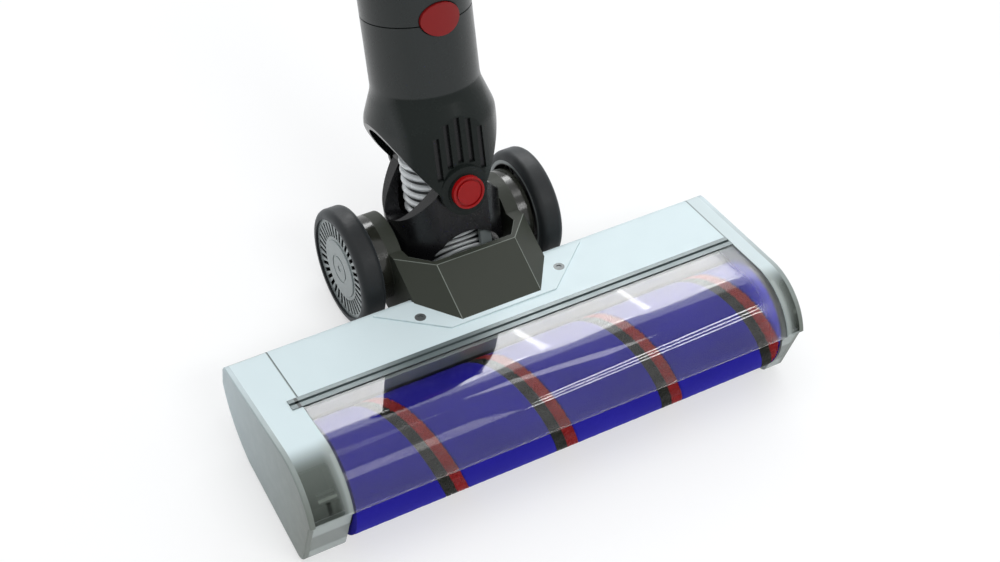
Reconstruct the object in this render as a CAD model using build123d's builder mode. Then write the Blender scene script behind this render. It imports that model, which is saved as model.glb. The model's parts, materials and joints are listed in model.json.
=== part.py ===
# Soft-roller floor head of a stick vacuum: clear hood, rear wheels and a two-axis neck.
# Frame: X along the width, -Y to the front, Z up from the floor; origin under the middle of the whole part.
import os
from math import acos, cos, degrees, pi, radians, sin, sqrt, tan

from build123d import *

os.makedirs("parts", exist_ok=True)

# Head
HEAD_W = 250.0
SKIN = 1.4
END_PLATE = 2.5
LEFT_BOX = 17.5
RIGHT_BOX = 7.0
BOX_WALL = 2.0
TOP_SLOPE = 14.0
HOOD_EDGE_DEG = 24.0
REAR_REACH = 34.2
REAR_LOW_Z = 26.0
REAR_ROUND = 4.0
HEEL_REACH = 64.0
HEEL_SAG = 4.8
SOLE_Z = 1.5
TOE_RAKE = 5.5
TOE_ROUND = 5.0
BLOCK_STEP = 1.5
BLOCK_DEPTH = 15.0
CHASSIS_WALL = 2.2
LIP_DEG = 40.0
MOUTH_W = 130.0
MOUTH_H = 11.0

# Roller
ROLL_R = 25.5
ROLL_REACH = 99.3
PLUSH_LIFT = 0.3
ROLL_GAP = 0.5
PLUSH_T = 4.5
STRIP_DEPTH = 3.0
TUBE_T = 2.4
ROLL_END_GAP = 1.5
ROLL_CAP_T = 1.2
BAND_PITCH = 55.5
BAND_W = 5.5
BAND_TOP_X = -15.3
BAND_PROUD = 0.15
CHAMBER_GAP = 1.2
MOTOR_CLEAR = 2.6
MOTOR_L = 118.0
MOTOR_FLANGE = 4.0
BEARING_L = 8.0
SPIGOT_R = 4.0
RUN_FIT = 0.05
MOVE_GAP = 0.4

# Seam strip, screws and seal
STRIP_REACH = 68.0
STRIP_W = 6.0
HOOD_LEDGE = 2.0
STRIP_PROUD = 0.5
STRIP_OVER = 5.0
PAD_T = 0.8
PAD_REAR_X = 54.0
PAD_FRONT_X = 27.0
SCREW_X = 36.0
SCREW_REACH = 49.0
SCREW_R = 1.4
SCREW_HEAD_R = 2.6
SEAL_T = 2.2
SEAL_H = 6.0
SEAL_LIFT = 0.3

# Wheels
WHEEL_R = 28.5
WHEEL_W = 11.5
TYRE_T = 4.3
TYRE_ROUND = 3.2
HUB_FACE_IN = 1.2
HUB_T = 4.0
HUB_RIM = 2.0
SLOT_COUNT = 36
SLOT_W = 1.8
SLOT_IN_R = 15.6
SLOT_OUT_R = 22.6
CAP_R = 14.0
AXLE_R = 3.0
SOLE_WHEEL_R = 4.5
SOLE_WHEEL_W = 7.0
SOLE_WHEEL_IN = 47.0
SOLE_WHEEL_BACK = 3.4
SOLE_PIN_R = 1.2

# Rear shroud with its axle drums
DRUM_R = 20.5
DRUM_GAP = 0.5
CHEEK_T = 6.5
DRUM_L = 7.0
SHROUD_FRONT_REACH = 60.5
ROOF_BACK = 3.0
ROOF_RISE = 15.6
ROOF_HALF = 20.2
HIP_DROP = 11.0
SHROUD_WALL = 2.2
SHROUD_LOW_Z = 7.0
WELL_TUCK = 2.1
DUCT_INSET = 6.0
PORT_HALF = 11.0
PORT_SILL = 2.0

# Neck and yoke
NECK_LEAN = 25.0
NECK_FWD = 7.8
NECK_R = 24.9
NECK_WALL = 2.5
BELL_R = 30.0
BELL_WALL = 2.0
FLARE_LOW_S = 68.0
FLARE_TOP_S = 82.0
FLARE_ROUND = 14.0
CUT_MID_X = 19.5
CUT_MID_S = 50.0
CUT_SIDE_S = 72.0
PIVOT_S = 38.3
TONGUE_R = 11.6
PIVOT_R = 5.0
PIVOT_CAP_R = 7.7
PIVOT_CAP_T = 2.2
BELL_GAP = 1.0
YOKE_T = 7.5
HOSE_GAP = 2.5
YOKE_RIM_S = 21.0
ARM_FLAT = 3.2
ARM_HALF = 10.8
HUB_R = 13.0
HUB_IN_GAP = 1.2
HUB_GAP = 2.0
PITCH_PIN_R = 6.0
COLLAR_S = 117.0
COLLAR_GAP = 0.5
NECK_TOP_S = 160.0
RIM_CHAMFER = 0.8
SOCKET_R = 17.5
SOCKET_L = 42.0
SLEEVE_T = 2.0
BUTTON_S = 119.0
BUTTON_W = 18.6
BUTTON_H = 14.6
BUTTON_PROUD = 1.2
BUTTON_T = 4.5
STEM_R = 2.5
STEM_CLEAR = 2.1
CONTACT_S = 100.0
CONTACT_W = 14.0
LOCK_R = 13.0
LOCK_STUB_R = 2.5
FRONT_FLAT = 2.2
FRONT_T = 2.4
VENT_COUNT = 5
VENT_W = 2.8
VENT_STEP = 5.4
VENT_T = 1.6
VENT_LOW = 13.0
VENT_TOP = 35.0
VENT_DROP = 0.06

# Hose
RIB_H = 1.4
HOSE_WALL = 1.4
RIB_STEP = 4.6
RIB_W = 2.4
HOSE_BEND_R = 28.0
HOSE_TURN = 65.0
HOSE_RUN = 1.5
CUFF_WALL = 1.6
TAB_W = 5.5
TAB_L = 7.0
TAB_T = 2.4
CUFF_L = 2.6
RING_S = 13.0
RING_L = 6.0
HOSE_TOP_S = 84.0

# Places that follow from the driving dimensions
HOOD_R = ROLL_R + ROLL_GAP + SKIN
ROLL_Z = ROLL_R + PLUSH_LIFT
AXLE_Z = WHEEL_R
LEAN_C = cos(radians(NECK_LEAN))
LEAN_S = sin(radians(NECK_LEAN))
FRONT_REACH = ROLL_REACH + max(ROLL_R + BAND_PROUD, HOOD_R * cos(radians(HOOD_EDGE_DEG)))
BACK_REACH = (NECK_R - NECK_FWD) * LEAN_C + (NECK_TOP_S - RIM_CHAMFER) * LEAN_S
AXLE_Y = (FRONT_REACH - BACK_REACH) / 2
ROLL_Y = AXLE_Y - ROLL_REACH
REAR_Y = AXLE_Y - REAR_REACH
LEFT_X = -HEAD_W / 2
RIGHT_X = HEAD_W / 2
LEFT_SEAM = LEFT_X + END_PLATE + LEFT_BOX
RIGHT_SEAM = RIGHT_X - END_PLATE - RIGHT_BOX
ROLL_X0 = LEFT_SEAM + ROLL_END_GAP
ROLL_X1 = RIGHT_SEAM - ROLL_END_GAP - ROLL_CAP_T
MOTOR_END = LEFT_SEAM + MOTOR_L
TUBE_R = ROLL_R - PLUSH_T
TUBE_IN_R = TUBE_R - TUBE_T
MOTOR_R = TUBE_IN_R - MOTOR_CLEAR
MOTOR_FLANGE_R = MOTOR_R + MOTOR_FLANGE
CHAMBER_R = ROLL_R + CHAMBER_GAP
HUB_OUT_R = WHEEL_R - TYRE_T
YOKE_R = BELL_R - BELL_WALL - BELL_GAP
ARM_OUT = YOKE_R - ARM_FLAT
YOKE_IN_R = YOKE_R - YOKE_T
HOSE_R = YOKE_IN_R - HOSE_GAP
HOSE_ROOT_R = HOSE_R - RIB_H
HOSE_IN_R = HOSE_ROOT_R - HOSE_WALL
ARM_IN = YOKE_IN_R - 1
HUB_IN_X = HOSE_R + HUB_IN_GAP
DRUM_IN_X = YOKE_R + DRUM_GAP
SHROUD_HALF = DRUM_IN_X + CHEEK_T
WHEEL_IN_X = SHROUD_HALF + DRUM_L
WHEEL_X = WHEEL_IN_X + WHEEL_W
DRUM_OUT_X = WHEEL_IN_X - MOVE_GAP
WELL_REACH = NECK_FWD + ARM_OUT - WELL_TUCK
ROOF_REACH = WELL_REACH + ROOF_BACK
CUFF_R = HOSE_R + CUFF_WALL
SOLE_WHEEL_X = HEAD_W / 2 - SOLE_WHEEL_IN
ROLL_AXIS = Axis((0, ROLL_Y, ROLL_Z), (1, 0, 0))
AXLE_AXIS = Axis((0, AXLE_Y, AXLE_Z), (1, 0, 0))


def around(radius, deg):
    """Point of a circle about the roller axis, deg counted from straight ahead upwards."""
    return (ROLL_Y - radius * cos(radians(deg)), ROLL_Z + radius * sin(radians(deg)))


def top_z(y, depth=0.0):
    """Height of the sloping top, depth below its surface, at y."""
    ty, tz = around(HOOD_R - depth, 90 + TOP_SLOPE)
    return tz - (y - ty) * tan(radians(TOP_SLOPE))


def neck_point(m, s, x=0.0):
    """Point m ahead of the neck's centre line and s up along it from the pitch axis."""
    n = NECK_FWD + m
    return (x, AXLE_Y - n * LEAN_C + s * LEAN_S, AXLE_Z + n * LEAN_S + s * LEAN_C)


HOOD_EDGE = around(HOOD_R, HOOD_EDGE_DEG)
TANGENT = around(HOOD_R, 90 + TOP_SLOPE)
CROWN = around(HOOD_R, (HOOD_EDGE_DEG + 90 + TOP_SLOPE) / 2)
BLOCK_TOP = (HOOD_EDGE[0] + BLOCK_STEP, HOOD_EDGE[1] - BLOCK_STEP)
TOE = (HOOD_EDGE[0] + TOE_RAKE, SOLE_Z)
HEEL = (AXLE_Y - HEEL_REACH, SOLE_Z)
REAR_LOW = (REAR_Y, REAR_LOW_Z)
REAR_TOP = (REAR_Y, top_z(REAR_Y))
PORT_H = REAR_TOP[1] - REAR_LOW_Z - PORT_SILL - REAR_ROUND
LIP = around(CHAMBER_R, 180 + LIP_DEG)
STRIP_REAR_Y = AXLE_Y - STRIP_REACH
STRIP_FRONT_Y = STRIP_REAR_Y - STRIP_W
SOLE_WHEEL_Y = LIP[0] + SOLE_WHEEL_R + SOLE_WHEEL_BACK
ROOF_Z = top_z(AXLE_Y - ROOF_REACH) + ROOF_RISE

NECK = Plane(origin=neck_point(0, 0), x_dir=(1, 0, 0), z_dir=(0, LEAN_S, LEAN_C))
NECK_AXIS = Axis(neck_point(0, 0), (0, LEAN_S, LEAN_C))
TOP = Plane(
    origin=(0, *TANGENT),
    x_dir=(1, 0, 0),
    z_dir=(0, sin(radians(TOP_SLOPE)), cos(radians(TOP_SLOPE))),
)


def front_plane(m):
    """Plane square to the roll pivot, sketched in x and s, facing ahead."""
    return Plane(origin=neck_point(m, 0), x_dir=(1, 0, 0), z_dir=(0, -LEAN_C, LEAN_S))


def side_plane(x):
    """Plane across the neck at x, sketched in distance to the rear and s."""
    return Plane(origin=neck_point(0, 0, x), x_dir=(0, LEAN_C, -LEAN_S), z_dir=(1, 0, 0))


def axle_plane(side):
    """Half plane through the rear axle, sketched in distance outwards and radius."""
    return Plane(origin=(0, AXLE_Y, AXLE_Z), x_dir=(side, 0, 0), z_dir=(0, -side, 0))


def pivot_plane(side, m=0.0):
    """Plane square to the roll axis, m out from the neck's centre line on the front (1) or rear (-1)."""
    return Plane(origin=neck_point(side * m, PIVOT_S), x_dir=(1, 0, 0), z_dir=(0, -side * LEAN_C, side * LEAN_S))


def hose_at(turn):
    """Point of the hose's bend, in y and z, after turning the given angle from the neck's centre line."""
    _, y0, z0 = neck_point(0, RING_S)
    along = HOSE_BEND_R * sin(radians(turn))
    ahead = HOSE_BEND_R * (1 - cos(radians(turn)))
    return (y0 - along * LEAN_S - ahead * LEAN_C, z0 - along * LEAN_C + ahead * LEAN_S)


def hose_plane(turn):
    """Plane square to the hose's bend, facing the head."""
    heading = radians(NECK_LEAN + turn)
    return Plane(origin=(0, *hose_at(turn)), x_dir=(1, 0, 0), z_dir=(0, -sin(heading), -cos(heading)))


def slope_v(y):
    """Distance down the sloping top from the hood's tangent line."""
    return (y - TANGENT[0]) / cos(radians(TOP_SLOPE))


def save(piece, name):
    """Label a finished piece and write it."""
    piece.part.label = name
    export_step(piece.part, f"parts/{name}.step")


# Section of the head, drawn in y and z, and the zone under the hood's edge that the corner blocks fill
with BuildSketch() as lens:
    with BuildLine():
        ThreePointArc(TANGENT, CROWN, HOOD_EDGE)
        Polyline(HOOD_EDGE, BLOCK_TOP, TOE, HEEL)
        SagittaArc(HEEL, REAR_LOW, -HEEL_SAG)
        Polyline(REAR_LOW, REAR_TOP, TANGENT)
    make_face()
    fillet(lens.vertices().sort_by_distance((*TOE, 0))[0], TOE_ROUND)
    fillet(lens.vertices().sort_by_distance((*REAR_TOP, 0))[0], REAR_ROUND)

with BuildSketch() as block_zone:
    with Locations((HOOD_EDGE[0], HOOD_EDGE[1])):
        Rectangle(2 * BLOCK_DEPTH, 3 * HOOD_R, align=(Align.CENTER, Align.MAX))

with BuildSketch() as strip_section:
    with BuildLine():
        Polyline(
            (STRIP_FRONT_Y, top_z(STRIP_FRONT_Y, SKIN)),
            (STRIP_REAR_Y, top_z(STRIP_REAR_Y, SKIN)),
            (STRIP_REAR_Y, top_z(STRIP_REAR_Y, -STRIP_PROUD)),
            (STRIP_FRONT_Y, top_z(STRIP_FRONT_Y, -STRIP_PROUD)),
            close=True,
        )
    make_face()

# End plates, end boxes and corner blocks
with BuildPart() as left_end_plate:
    with BuildSketch(Plane.YZ.offset(LEFT_X)):
        add(lens.sketch)
    extrude(amount=END_PLATE)
    chamfer(left_end_plate.faces().sort_by(Axis.X)[0].edges(), 0.5)
save(left_end_plate, "left_end_plate")

with BuildPart() as left_end_box:
    with BuildSketch(Plane.YZ.offset(LEFT_X + END_PLATE)):
        add(lens.sketch)
    extrude(amount=LEFT_BOX)
    with BuildSketch(Plane.YZ.offset(LEFT_X + END_PLATE)):
        offset(lens.sketch, amount=-BOX_WALL, kind=Kind.INTERSECTION)
    extrude(amount=LEFT_BOX - BOX_WALL, mode=Mode.SUBTRACT)
    with BuildSketch(Plane.YZ.offset(LEFT_X + END_PLATE)):
        add(block_zone.sketch)
    extrude(amount=LEFT_BOX, mode=Mode.SUBTRACT)
    with BuildSketch(Plane.YZ.offset(LEFT_SEAM - BOX_WALL)):
        with Locations((ROLL_Y, ROLL_Z)):
            Circle(MOTOR_R)
    extrude(amount=BOX_WALL, mode=Mode.SUBTRACT)
    with BuildSketch(Plane.YZ.offset(LEFT_SEAM - STRIP_OVER)):
        add(strip_section.sketch)
    extrude(amount=STRIP_OVER, mode=Mode.SUBTRACT)
save(left_end_box, "left_end_box")

with BuildPart() as left_corner_block:
    with BuildSketch(Plane.YZ.offset(LEFT_X + END_PLATE)):
        add(lens.sketch)
        add(block_zone.sketch, mode=Mode.INTERSECT)
        with Locations((ROLL_Y, ROLL_Z)):
            Circle(MOTOR_FLANGE_R, mode=Mode.SUBTRACT)
    extrude(amount=LEFT_BOX)
    with BuildSketch(Plane.XZ) as corner_front:
        with Locations((LEFT_SEAM, SOLE_Z)):
            Rectangle(2 * LEFT_BOX, 3 * HOOD_R, align=(Align.MAX, Align.MIN))
        fillet(corner_front.vertices().sort_by_distance((LEFT_SEAM, SOLE_Z, 0))[0], TOE_ROUND)
    extrude(amount=HEAD_W, both=True, mode=Mode.INTERSECT)
save(left_corner_block, "left_corner_block")

with BuildPart() as right_end_box:
    with BuildSketch(Plane.YZ.offset(RIGHT_SEAM)):
        add(lens.sketch)
        with Locations((ROLL_Y, ROLL_Z)):
            Circle(ROLL_R + ROLL_GAP, mode=Mode.SUBTRACT)
        with Locations((ROLL_Y, HOOD_EDGE[1])):
            Rectangle(2 * HOOD_R, 3 * HOOD_R, align=(Align.MAX, Align.MAX), mode=Mode.SUBTRACT)
    extrude(amount=RIGHT_BOX)
save(right_end_box, "right_end_box")

with BuildPart() as right_corner_block:
    with BuildSketch(Plane.YZ.offset(RIGHT_SEAM)):
        add(lens.sketch)
        add(block_zone.sketch, mode=Mode.INTERSECT)
        with Locations((ROLL_Y, ROLL_Z)):
            Circle(LOCK_R + 3, mode=Mode.SUBTRACT)
    extrude(amount=RIGHT_BOX)
save(right_corner_block, "right_corner_block")

# Removable right end plate with the roller's spigot, and the coin lock that holds it
with BuildPart() as right_end_plate:
    with BuildSketch(Plane.YZ.offset(RIGHT_X - END_PLATE)):
        add(lens.sketch)
        with Locations((ROLL_Y, ROLL_Z)):
            Circle(LOCK_R + MOVE_GAP, mode=Mode.SUBTRACT)
    extrude(amount=END_PLATE)
    with BuildSketch(Plane.YZ.offset(RIGHT_X - END_PLATE)):
        with Locations((ROLL_Y, ROLL_Z)):
            Circle(LOCK_R + 3)
    extrude(amount=-BOX_WALL)
    with BuildSketch(Plane.YZ.offset(RIGHT_X - END_PLATE)):
        with Locations((ROLL_Y, ROLL_Z)):
            Circle(LOCK_STUB_R)
    extrude(amount=END_PLATE - 1)
    with BuildSketch(Plane.YZ.offset(RIGHT_X - END_PLATE - BOX_WALL)):
        with Locations((ROLL_Y, ROLL_Z)):
            Circle(SPIGOT_R)
    extrude(amount=ROLL_X1 - BEARING_L - (RIGHT_X - END_PLATE - BOX_WALL))
    chamfer(right_end_plate.faces().sort_by(Axis.X)[-1].outer_wire().edges(), 0.5)
save(right_end_plate, "right_end_plate")

with BuildPart() as end_lock:
    with BuildSketch(Plane.YZ.offset(RIGHT_X - END_PLATE + MOVE_GAP)):
        with Locations((ROLL_Y, ROLL_Z)):
            Circle(LOCK_R)
            Circle(LOCK_STUB_R + RUN_FIT, mode=Mode.SUBTRACT)
    extrude(amount=END_PLATE - MOVE_GAP)
    with BuildSketch(Plane.YZ.offset(RIGHT_X)):
        with Locations((ROLL_Y, ROLL_Z)):
            SlotOverall(1.5 * LOCK_R, 2.4)
    extrude(amount=-1, mode=Mode.SUBTRACT)
save(end_lock, "end_lock")

# Rear shroud: hipped cover over the hose, with the two drums that carry the axles
SHROUD_FRONT = (AXLE_Y - SHROUD_FRONT_REACH, top_z(AXLE_Y - SHROUD_FRONT_REACH))
ROOF = (AXLE_Y - ROOF_REACH, ROOF_Z)
DRUM_TOP = (AXLE_Y - DRUM_R * cos(radians(52)), AXLE_Z + DRUM_R * sin(radians(52)))
ROOF_SLOPE = (ROOF[1] - SHROUD_FRONT[1]) / (ROOF[0] - SHROUD_FRONT[0])
WELL_Y = AXLE_Y - WELL_REACH
with BuildPart() as rear_shroud:
    with BuildSketch(Plane.YZ.offset(-SHROUD_HALF)):
        with BuildLine():
            Polyline(
                SHROUD_FRONT,
                ROOF,
                DRUM_TOP,
                (AXLE_Y, AXLE_Z),
                (AXLE_Y - DRUM_R / 3, SHROUD_LOW_Z + DRUM_R / 4),
                (REAR_Y + SHROUD_WALL, SHROUD_LOW_Z),
                (REAR_Y, SHROUD_LOW_Z),
                REAR_TOP,
                close=True,
            )
        make_face()
    extrude(amount=2 * SHROUD_HALF)
    for side in (-1, 1):
        run = Vector(0, ROOF[0] - SHROUD_FRONT[0], ROOF[1] - SHROUD_FRONT[1])
        drop = Vector(side * (SHROUD_HALF - ROOF_HALF), 0, -HIP_DROP)
        hip = Plane(origin=(side * ROOF_HALF, *ROOF), z_dir=drop.cross(run) * side)
        split(bisect_by=hip, keep=Keep.BOTTOM)
    with BuildSketch():
        with BuildLine():
            Polyline(
                (-ROOF_HALF, WELL_Y),
                (ROOF_HALF, WELL_Y),
                (DRUM_IN_X, WELL_Y + WELL_REACH / 3),
                (DRUM_IN_X, AXLE_Y + DRUM_R),
                (-DRUM_IN_X, AXLE_Y + DRUM_R),
                (-DRUM_IN_X, WELL_Y + WELL_REACH / 3),
                close=True,
            )
        make_face()
    extrude(amount=2 * ROOF_Z, mode=Mode.SUBTRACT)
    with BuildSketch(Plane.YZ.offset(-ROOF_HALF + SHROUD_WALL)):
        with BuildLine():
            pocket_y = SHROUD_FRONT[0] + SHROUD_WALL * 3
            Polyline(
                (pocket_y, top_z(pocket_y)),
                (pocket_y, SHROUD_FRONT[1] + (pocket_y - SHROUD_FRONT[0]) * ROOF_SLOPE - SHROUD_WALL),
                (ROOF[0], ROOF[1] - SHROUD_WALL),
                (WELL_Y + 1, ROOF[1] - 2 * SHROUD_WALL),
                (WELL_Y + 1, REAR_TOP[1]),
                REAR_TOP,
                close=True,
            )
        make_face()
    extrude(amount=2 * (ROOF_HALF - SHROUD_WALL), mode=Mode.SUBTRACT)
    for side in (-1, 1):
        with BuildSketch(axle_plane(side)):
            with Locations((DRUM_IN_X, 0)):
                Rectangle(DRUM_OUT_X - DRUM_IN_X, DRUM_R, align=(Align.MIN, Align.MIN))
        revolve(axis=AXLE_AXIS)
        with BuildSketch(axle_plane(side)):
            with Locations((DRUM_IN_X, 0)):
                Rectangle(SHROUD_HALF - DRUM_IN_X, PITCH_PIN_R, align=(Align.MIN, Align.MIN))
                Rectangle(DRUM_OUT_X - DRUM_IN_X, AXLE_R, align=(Align.MIN, Align.MIN))
        revolve(axis=AXLE_AXIS, mode=Mode.SUBTRACT)
    with BuildSketch(hose_plane(HOSE_TURN)):
        Circle(CUFF_R)
    extrude(amount=HOSE_RUN + CUFF_L + SHROUD_WALL, mode=Mode.SUBTRACT)
    with BuildSketch(Plane.XZ.offset(-REAR_Y)):
        with Locations((0, REAR_LOW_Z + PORT_SILL)):
            Rectangle(2 * PORT_HALF, PORT_H, align=(Align.CENTER, Align.MIN))
    extrude(amount=-2 * SHROUD_WALL, mode=Mode.SUBTRACT)
save(rear_shroud, "rear_shroud")

# Clear hood over the roller
with BuildPart() as hood:
    with BuildSketch(Plane.YZ.offset(LEFT_SEAM)):
        with BuildLine():
            inner_tangent = around(HOOD_R - SKIN, 90 + TOP_SLOPE)
            inner_edge = around(HOOD_R - SKIN, HOOD_EDGE_DEG)
            inner_crown = around(HOOD_R - SKIN, (HOOD_EDGE_DEG + 90 + TOP_SLOPE) / 2)
            ThreePointArc(HOOD_EDGE, CROWN, TANGENT)
            Polyline(
                TANGENT,
                (STRIP_FRONT_Y, top_z(STRIP_FRONT_Y)),
                (STRIP_FRONT_Y, top_z(STRIP_FRONT_Y, SKIN)),
                inner_tangent,
            )
            ThreePointArc(inner_tangent, inner_crown, inner_edge)
            Line(inner_edge, HOOD_EDGE)
        make_face()
    extrude(amount=RIGHT_SEAM - LEFT_SEAM)
save(hood, "hood")

# Top cover with raised screw pads beside the shroud
DUCT_SLOPE = (slope_v(SHROUD_FRONT[0] + DUCT_INSET), slope_v(REAR_Y - DUCT_INSET))
with BuildPart() as top_cover:
    with BuildSketch(Plane.YZ.offset(LEFT_SEAM)) as cover_section:
        with BuildLine():
            Polyline(
                (STRIP_REAR_Y, top_z(STRIP_REAR_Y)),
                REAR_TOP,
                (REAR_Y, REAR_LOW_Z + SKIN),
                (REAR_Y - SKIN, REAR_LOW_Z + SKIN),
                (REAR_Y - SKIN, top_z(REAR_Y - SKIN, SKIN)),
                (STRIP_REAR_Y, top_z(STRIP_REAR_Y, SKIN)),
                close=True,
            )
        make_face()
        fillet(cover_section.vertices().sort_by_distance((*REAR_TOP, 0))[0], REAR_ROUND)
        inner_corner = (REAR_Y - SKIN, top_z(REAR_Y - SKIN, SKIN), 0)
        fillet(cover_section.vertices().sort_by_distance(inner_corner)[0], REAR_ROUND - SKIN)
    extrude(amount=RIGHT_SEAM - LEFT_SEAM)
    with BuildSketch(TOP):
        with BuildLine():
            pad_front = slope_v(SHROUD_FRONT[0] - 1)
            pad_rear = slope_v(REAR_Y - REAR_ROUND)
            Polyline(
                (-PAD_FRONT_X, pad_front),
                (PAD_FRONT_X, pad_front),
                (PAD_REAR_X, pad_rear),
                (-PAD_REAR_X, pad_rear),
                close=True,
            )
        make_face()
    extrude(amount=PAD_T)
    add(rear_shroud.part, mode=Mode.SUBTRACT)
    with BuildSketch(TOP.offset(PAD_T)):
        with Locations((0, DUCT_SLOPE[0])):
            Rectangle(2 * ROOF_HALF - 4 * SHROUD_WALL, DUCT_SLOPE[1] - DUCT_SLOPE[0], align=(Align.CENTER, Align.MIN))
        with Locations((-SCREW_X, slope_v(AXLE_Y - SCREW_REACH)), (SCREW_X, slope_v(AXLE_Y - SCREW_REACH))):
            Circle(SCREW_R)
    extrude(amount=-PAD_T - SKIN, mode=Mode.SUBTRACT)
    with BuildSketch(TOP.offset(PAD_T)):
        with Locations((-SCREW_X, slope_v(AXLE_Y - SCREW_REACH)), (SCREW_X, slope_v(AXLE_Y - SCREW_REACH))):
            Circle(SCREW_HEAD_R)
    extrude(amount=-PAD_T, mode=Mode.SUBTRACT)
    with BuildSketch(Plane.XZ.offset(-REAR_Y)):
        with Locations((0, REAR_LOW_Z + PORT_SILL)):
            Rectangle(2 * PORT_HALF, PORT_H, align=(Align.CENTER, Align.MIN))
    extrude(amount=SKIN, mode=Mode.SUBTRACT)
save(top_cover, "top_cover")

# Grooved strip that closes the joint between the top cover and the hood
with BuildPart() as seam_strip:
    strip_l = RIGHT_SEAM - LEFT_SEAM + STRIP_OVER
    with BuildSketch(Plane.YZ.offset(LEFT_SEAM - STRIP_OVER)):
        add(strip_section.sketch)
    extrude(amount=strip_l)
    with BuildSketch(TOP.offset(STRIP_PROUD)):
        with Locations((LEFT_SEAM - STRIP_OVER, slope_v((STRIP_FRONT_Y + STRIP_REAR_Y) / 2))):
            Rectangle(strip_l, STRIP_W / 4, align=(Align.MIN, Align.CENTER))
    extrude(amount=-STRIP_PROUD - SKIN / 2, mode=Mode.SUBTRACT)
save(seam_strip, "seam_strip")

# Chassis: roller chamber wall, suction duct and sole in one moulding
with BuildPart() as chassis:
    with BuildSketch(Plane.YZ.offset(LEFT_SEAM)) as chassis_section:
        with BuildLine():
            ledge_y = STRIP_FRONT_Y - HOOD_LEDGE
            wall_deg = 180 - degrees(acos(min((ledge_y - ROLL_Y) / CHAMBER_R, 0.99)))
            wall_foot = around(CHAMBER_R, wall_deg)
            corner = (REAR_Y - SKIN, top_z(REAR_Y - SKIN, SKIN))
            ThreePointArc(LIP, around(CHAMBER_R, (wall_deg + 180 + LIP_DEG) / 2), wall_foot)
            Polyline(wall_foot, (ledge_y, top_z(ledge_y, SKIN)), corner, (REAR_Y - SKIN, REAR_LOW_Z))
            SagittaArc((REAR_Y - SKIN, REAR_LOW_Z), HEEL, HEEL_SAG)
            Polyline(HEEL, (LIP[0], SOLE_Z), LIP)
        make_face()
        fillet(chassis_section.vertices().sort_by_distance((*corner, 0))[0], REAR_ROUND - SKIN)
    extrude(amount=RIGHT_SEAM - LEFT_SEAM)
    with BuildSketch(Plane.YZ.offset(LEFT_SEAM + CHASSIS_WALL)):
        offset(chassis_section.sketch_local, amount=-CHASSIS_WALL, kind=Kind.INTERSECTION)
    extrude(amount=RIGHT_SEAM - LEFT_SEAM - 2 * CHASSIS_WALL, mode=Mode.SUBTRACT)
    with BuildSketch(Plane.XZ.offset(-LIP[0] - 4 * CHASSIS_WALL)):
        with Locations((0, LIP[1])):
            RectangleRounded(MOUTH_W, MOUTH_H, 3, align=(Align.CENTER, Align.MIN))
    extrude(amount=CHAMBER_R, mode=Mode.SUBTRACT)
    with BuildSketch(Plane.XZ.offset(SKIN - REAR_Y)):
        with Locations((0, REAR_LOW_Z + PORT_SILL)):
            Rectangle(2 * PORT_HALF, PORT_H, align=(Align.CENTER, Align.MIN))
    extrude(amount=2 * CHASSIS_WALL, mode=Mode.SUBTRACT)
    with BuildSketch(TOP):
        with Locations((0, DUCT_SLOPE[0])):
            Rectangle(2 * ROOF_HALF - 4 * SHROUD_WALL, DUCT_SLOPE[1] - DUCT_SLOPE[0], align=(Align.CENTER, Align.MIN))
        with Locations((-SCREW_X, slope_v(AXLE_Y - SCREW_REACH)), (SCREW_X, slope_v(AXLE_Y - SCREW_REACH))):
            Circle(SCREW_R)
    extrude(amount=-SKIN - 2 * CHASSIS_WALL, mode=Mode.SUBTRACT)
    for side in (-1, 1):
        cheek = SOLE_WHEEL_W / 2 + MOVE_GAP
        boss_h = SOLE_WHEEL_R + 2 * SOLE_PIN_R - SOLE_Z
        with BuildSketch(Plane.XY.offset(SOLE_Z)):
            with Locations((side * SOLE_WHEEL_X, SOLE_WHEEL_Y)):
                Rectangle(2 * cheek + 4, 2 * SOLE_WHEEL_R + 3)
        extrude(amount=boss_h)
        with BuildSketch(Plane.XY.offset(SOLE_Z)):
            with Locations((side * SOLE_WHEEL_X, SOLE_WHEEL_Y)):
                Rectangle(2 * cheek, 2 * SOLE_WHEEL_R + 1)
        extrude(amount=2 * SOLE_WHEEL_R, mode=Mode.SUBTRACT)
        with BuildSketch(Plane.YZ.offset(side * SOLE_WHEEL_X)):
            with Locations((SOLE_WHEEL_Y, SOLE_WHEEL_R)):
                Circle(SOLE_PIN_R)
        extrude(amount=cheek + 2, both=True, mode=Mode.SUBTRACT)
save(chassis, "chassis")

with BuildPart() as seal_strip:
    with BuildSketch(Plane.XY.offset(SEAL_LIFT)):
        with Locations(((LEFT_SEAM + RIGHT_SEAM) / 2, LIP[0])):
            Rectangle(RIGHT_SEAM - LEFT_SEAM - 4, SEAL_T, align=(Align.CENTER, Align.MAX))
    extrude(amount=SEAL_H)
save(seal_strip, "seal_strip")

with BuildPart() as cover_screws:
    with BuildSketch(TOP):
        with Locations((-SCREW_X, slope_v(AXLE_Y - SCREW_REACH)), (SCREW_X, slope_v(AXLE_Y - SCREW_REACH))):
            Circle(SCREW_HEAD_R)
    extrude(amount=PAD_T)
    with BuildSketch(TOP):
        with Locations((-SCREW_X, slope_v(AXLE_Y - SCREW_REACH)), (SCREW_X, slope_v(AXLE_Y - SCREW_REACH))):
            Circle(SCREW_R)
    extrude(amount=-SKIN - CHASSIS_WALL)
    with BuildSketch(TOP.offset(PAD_T)):
        with Locations((-SCREW_X, slope_v(AXLE_Y - SCREW_REACH)), (SCREW_X, slope_v(AXLE_Y - SCREW_REACH))):
            RegularPolygon(SCREW_R, 6)
    extrude(amount=-PAD_T / 2, mode=Mode.SUBTRACT)
save(cover_screws, "cover_screws")

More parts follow.
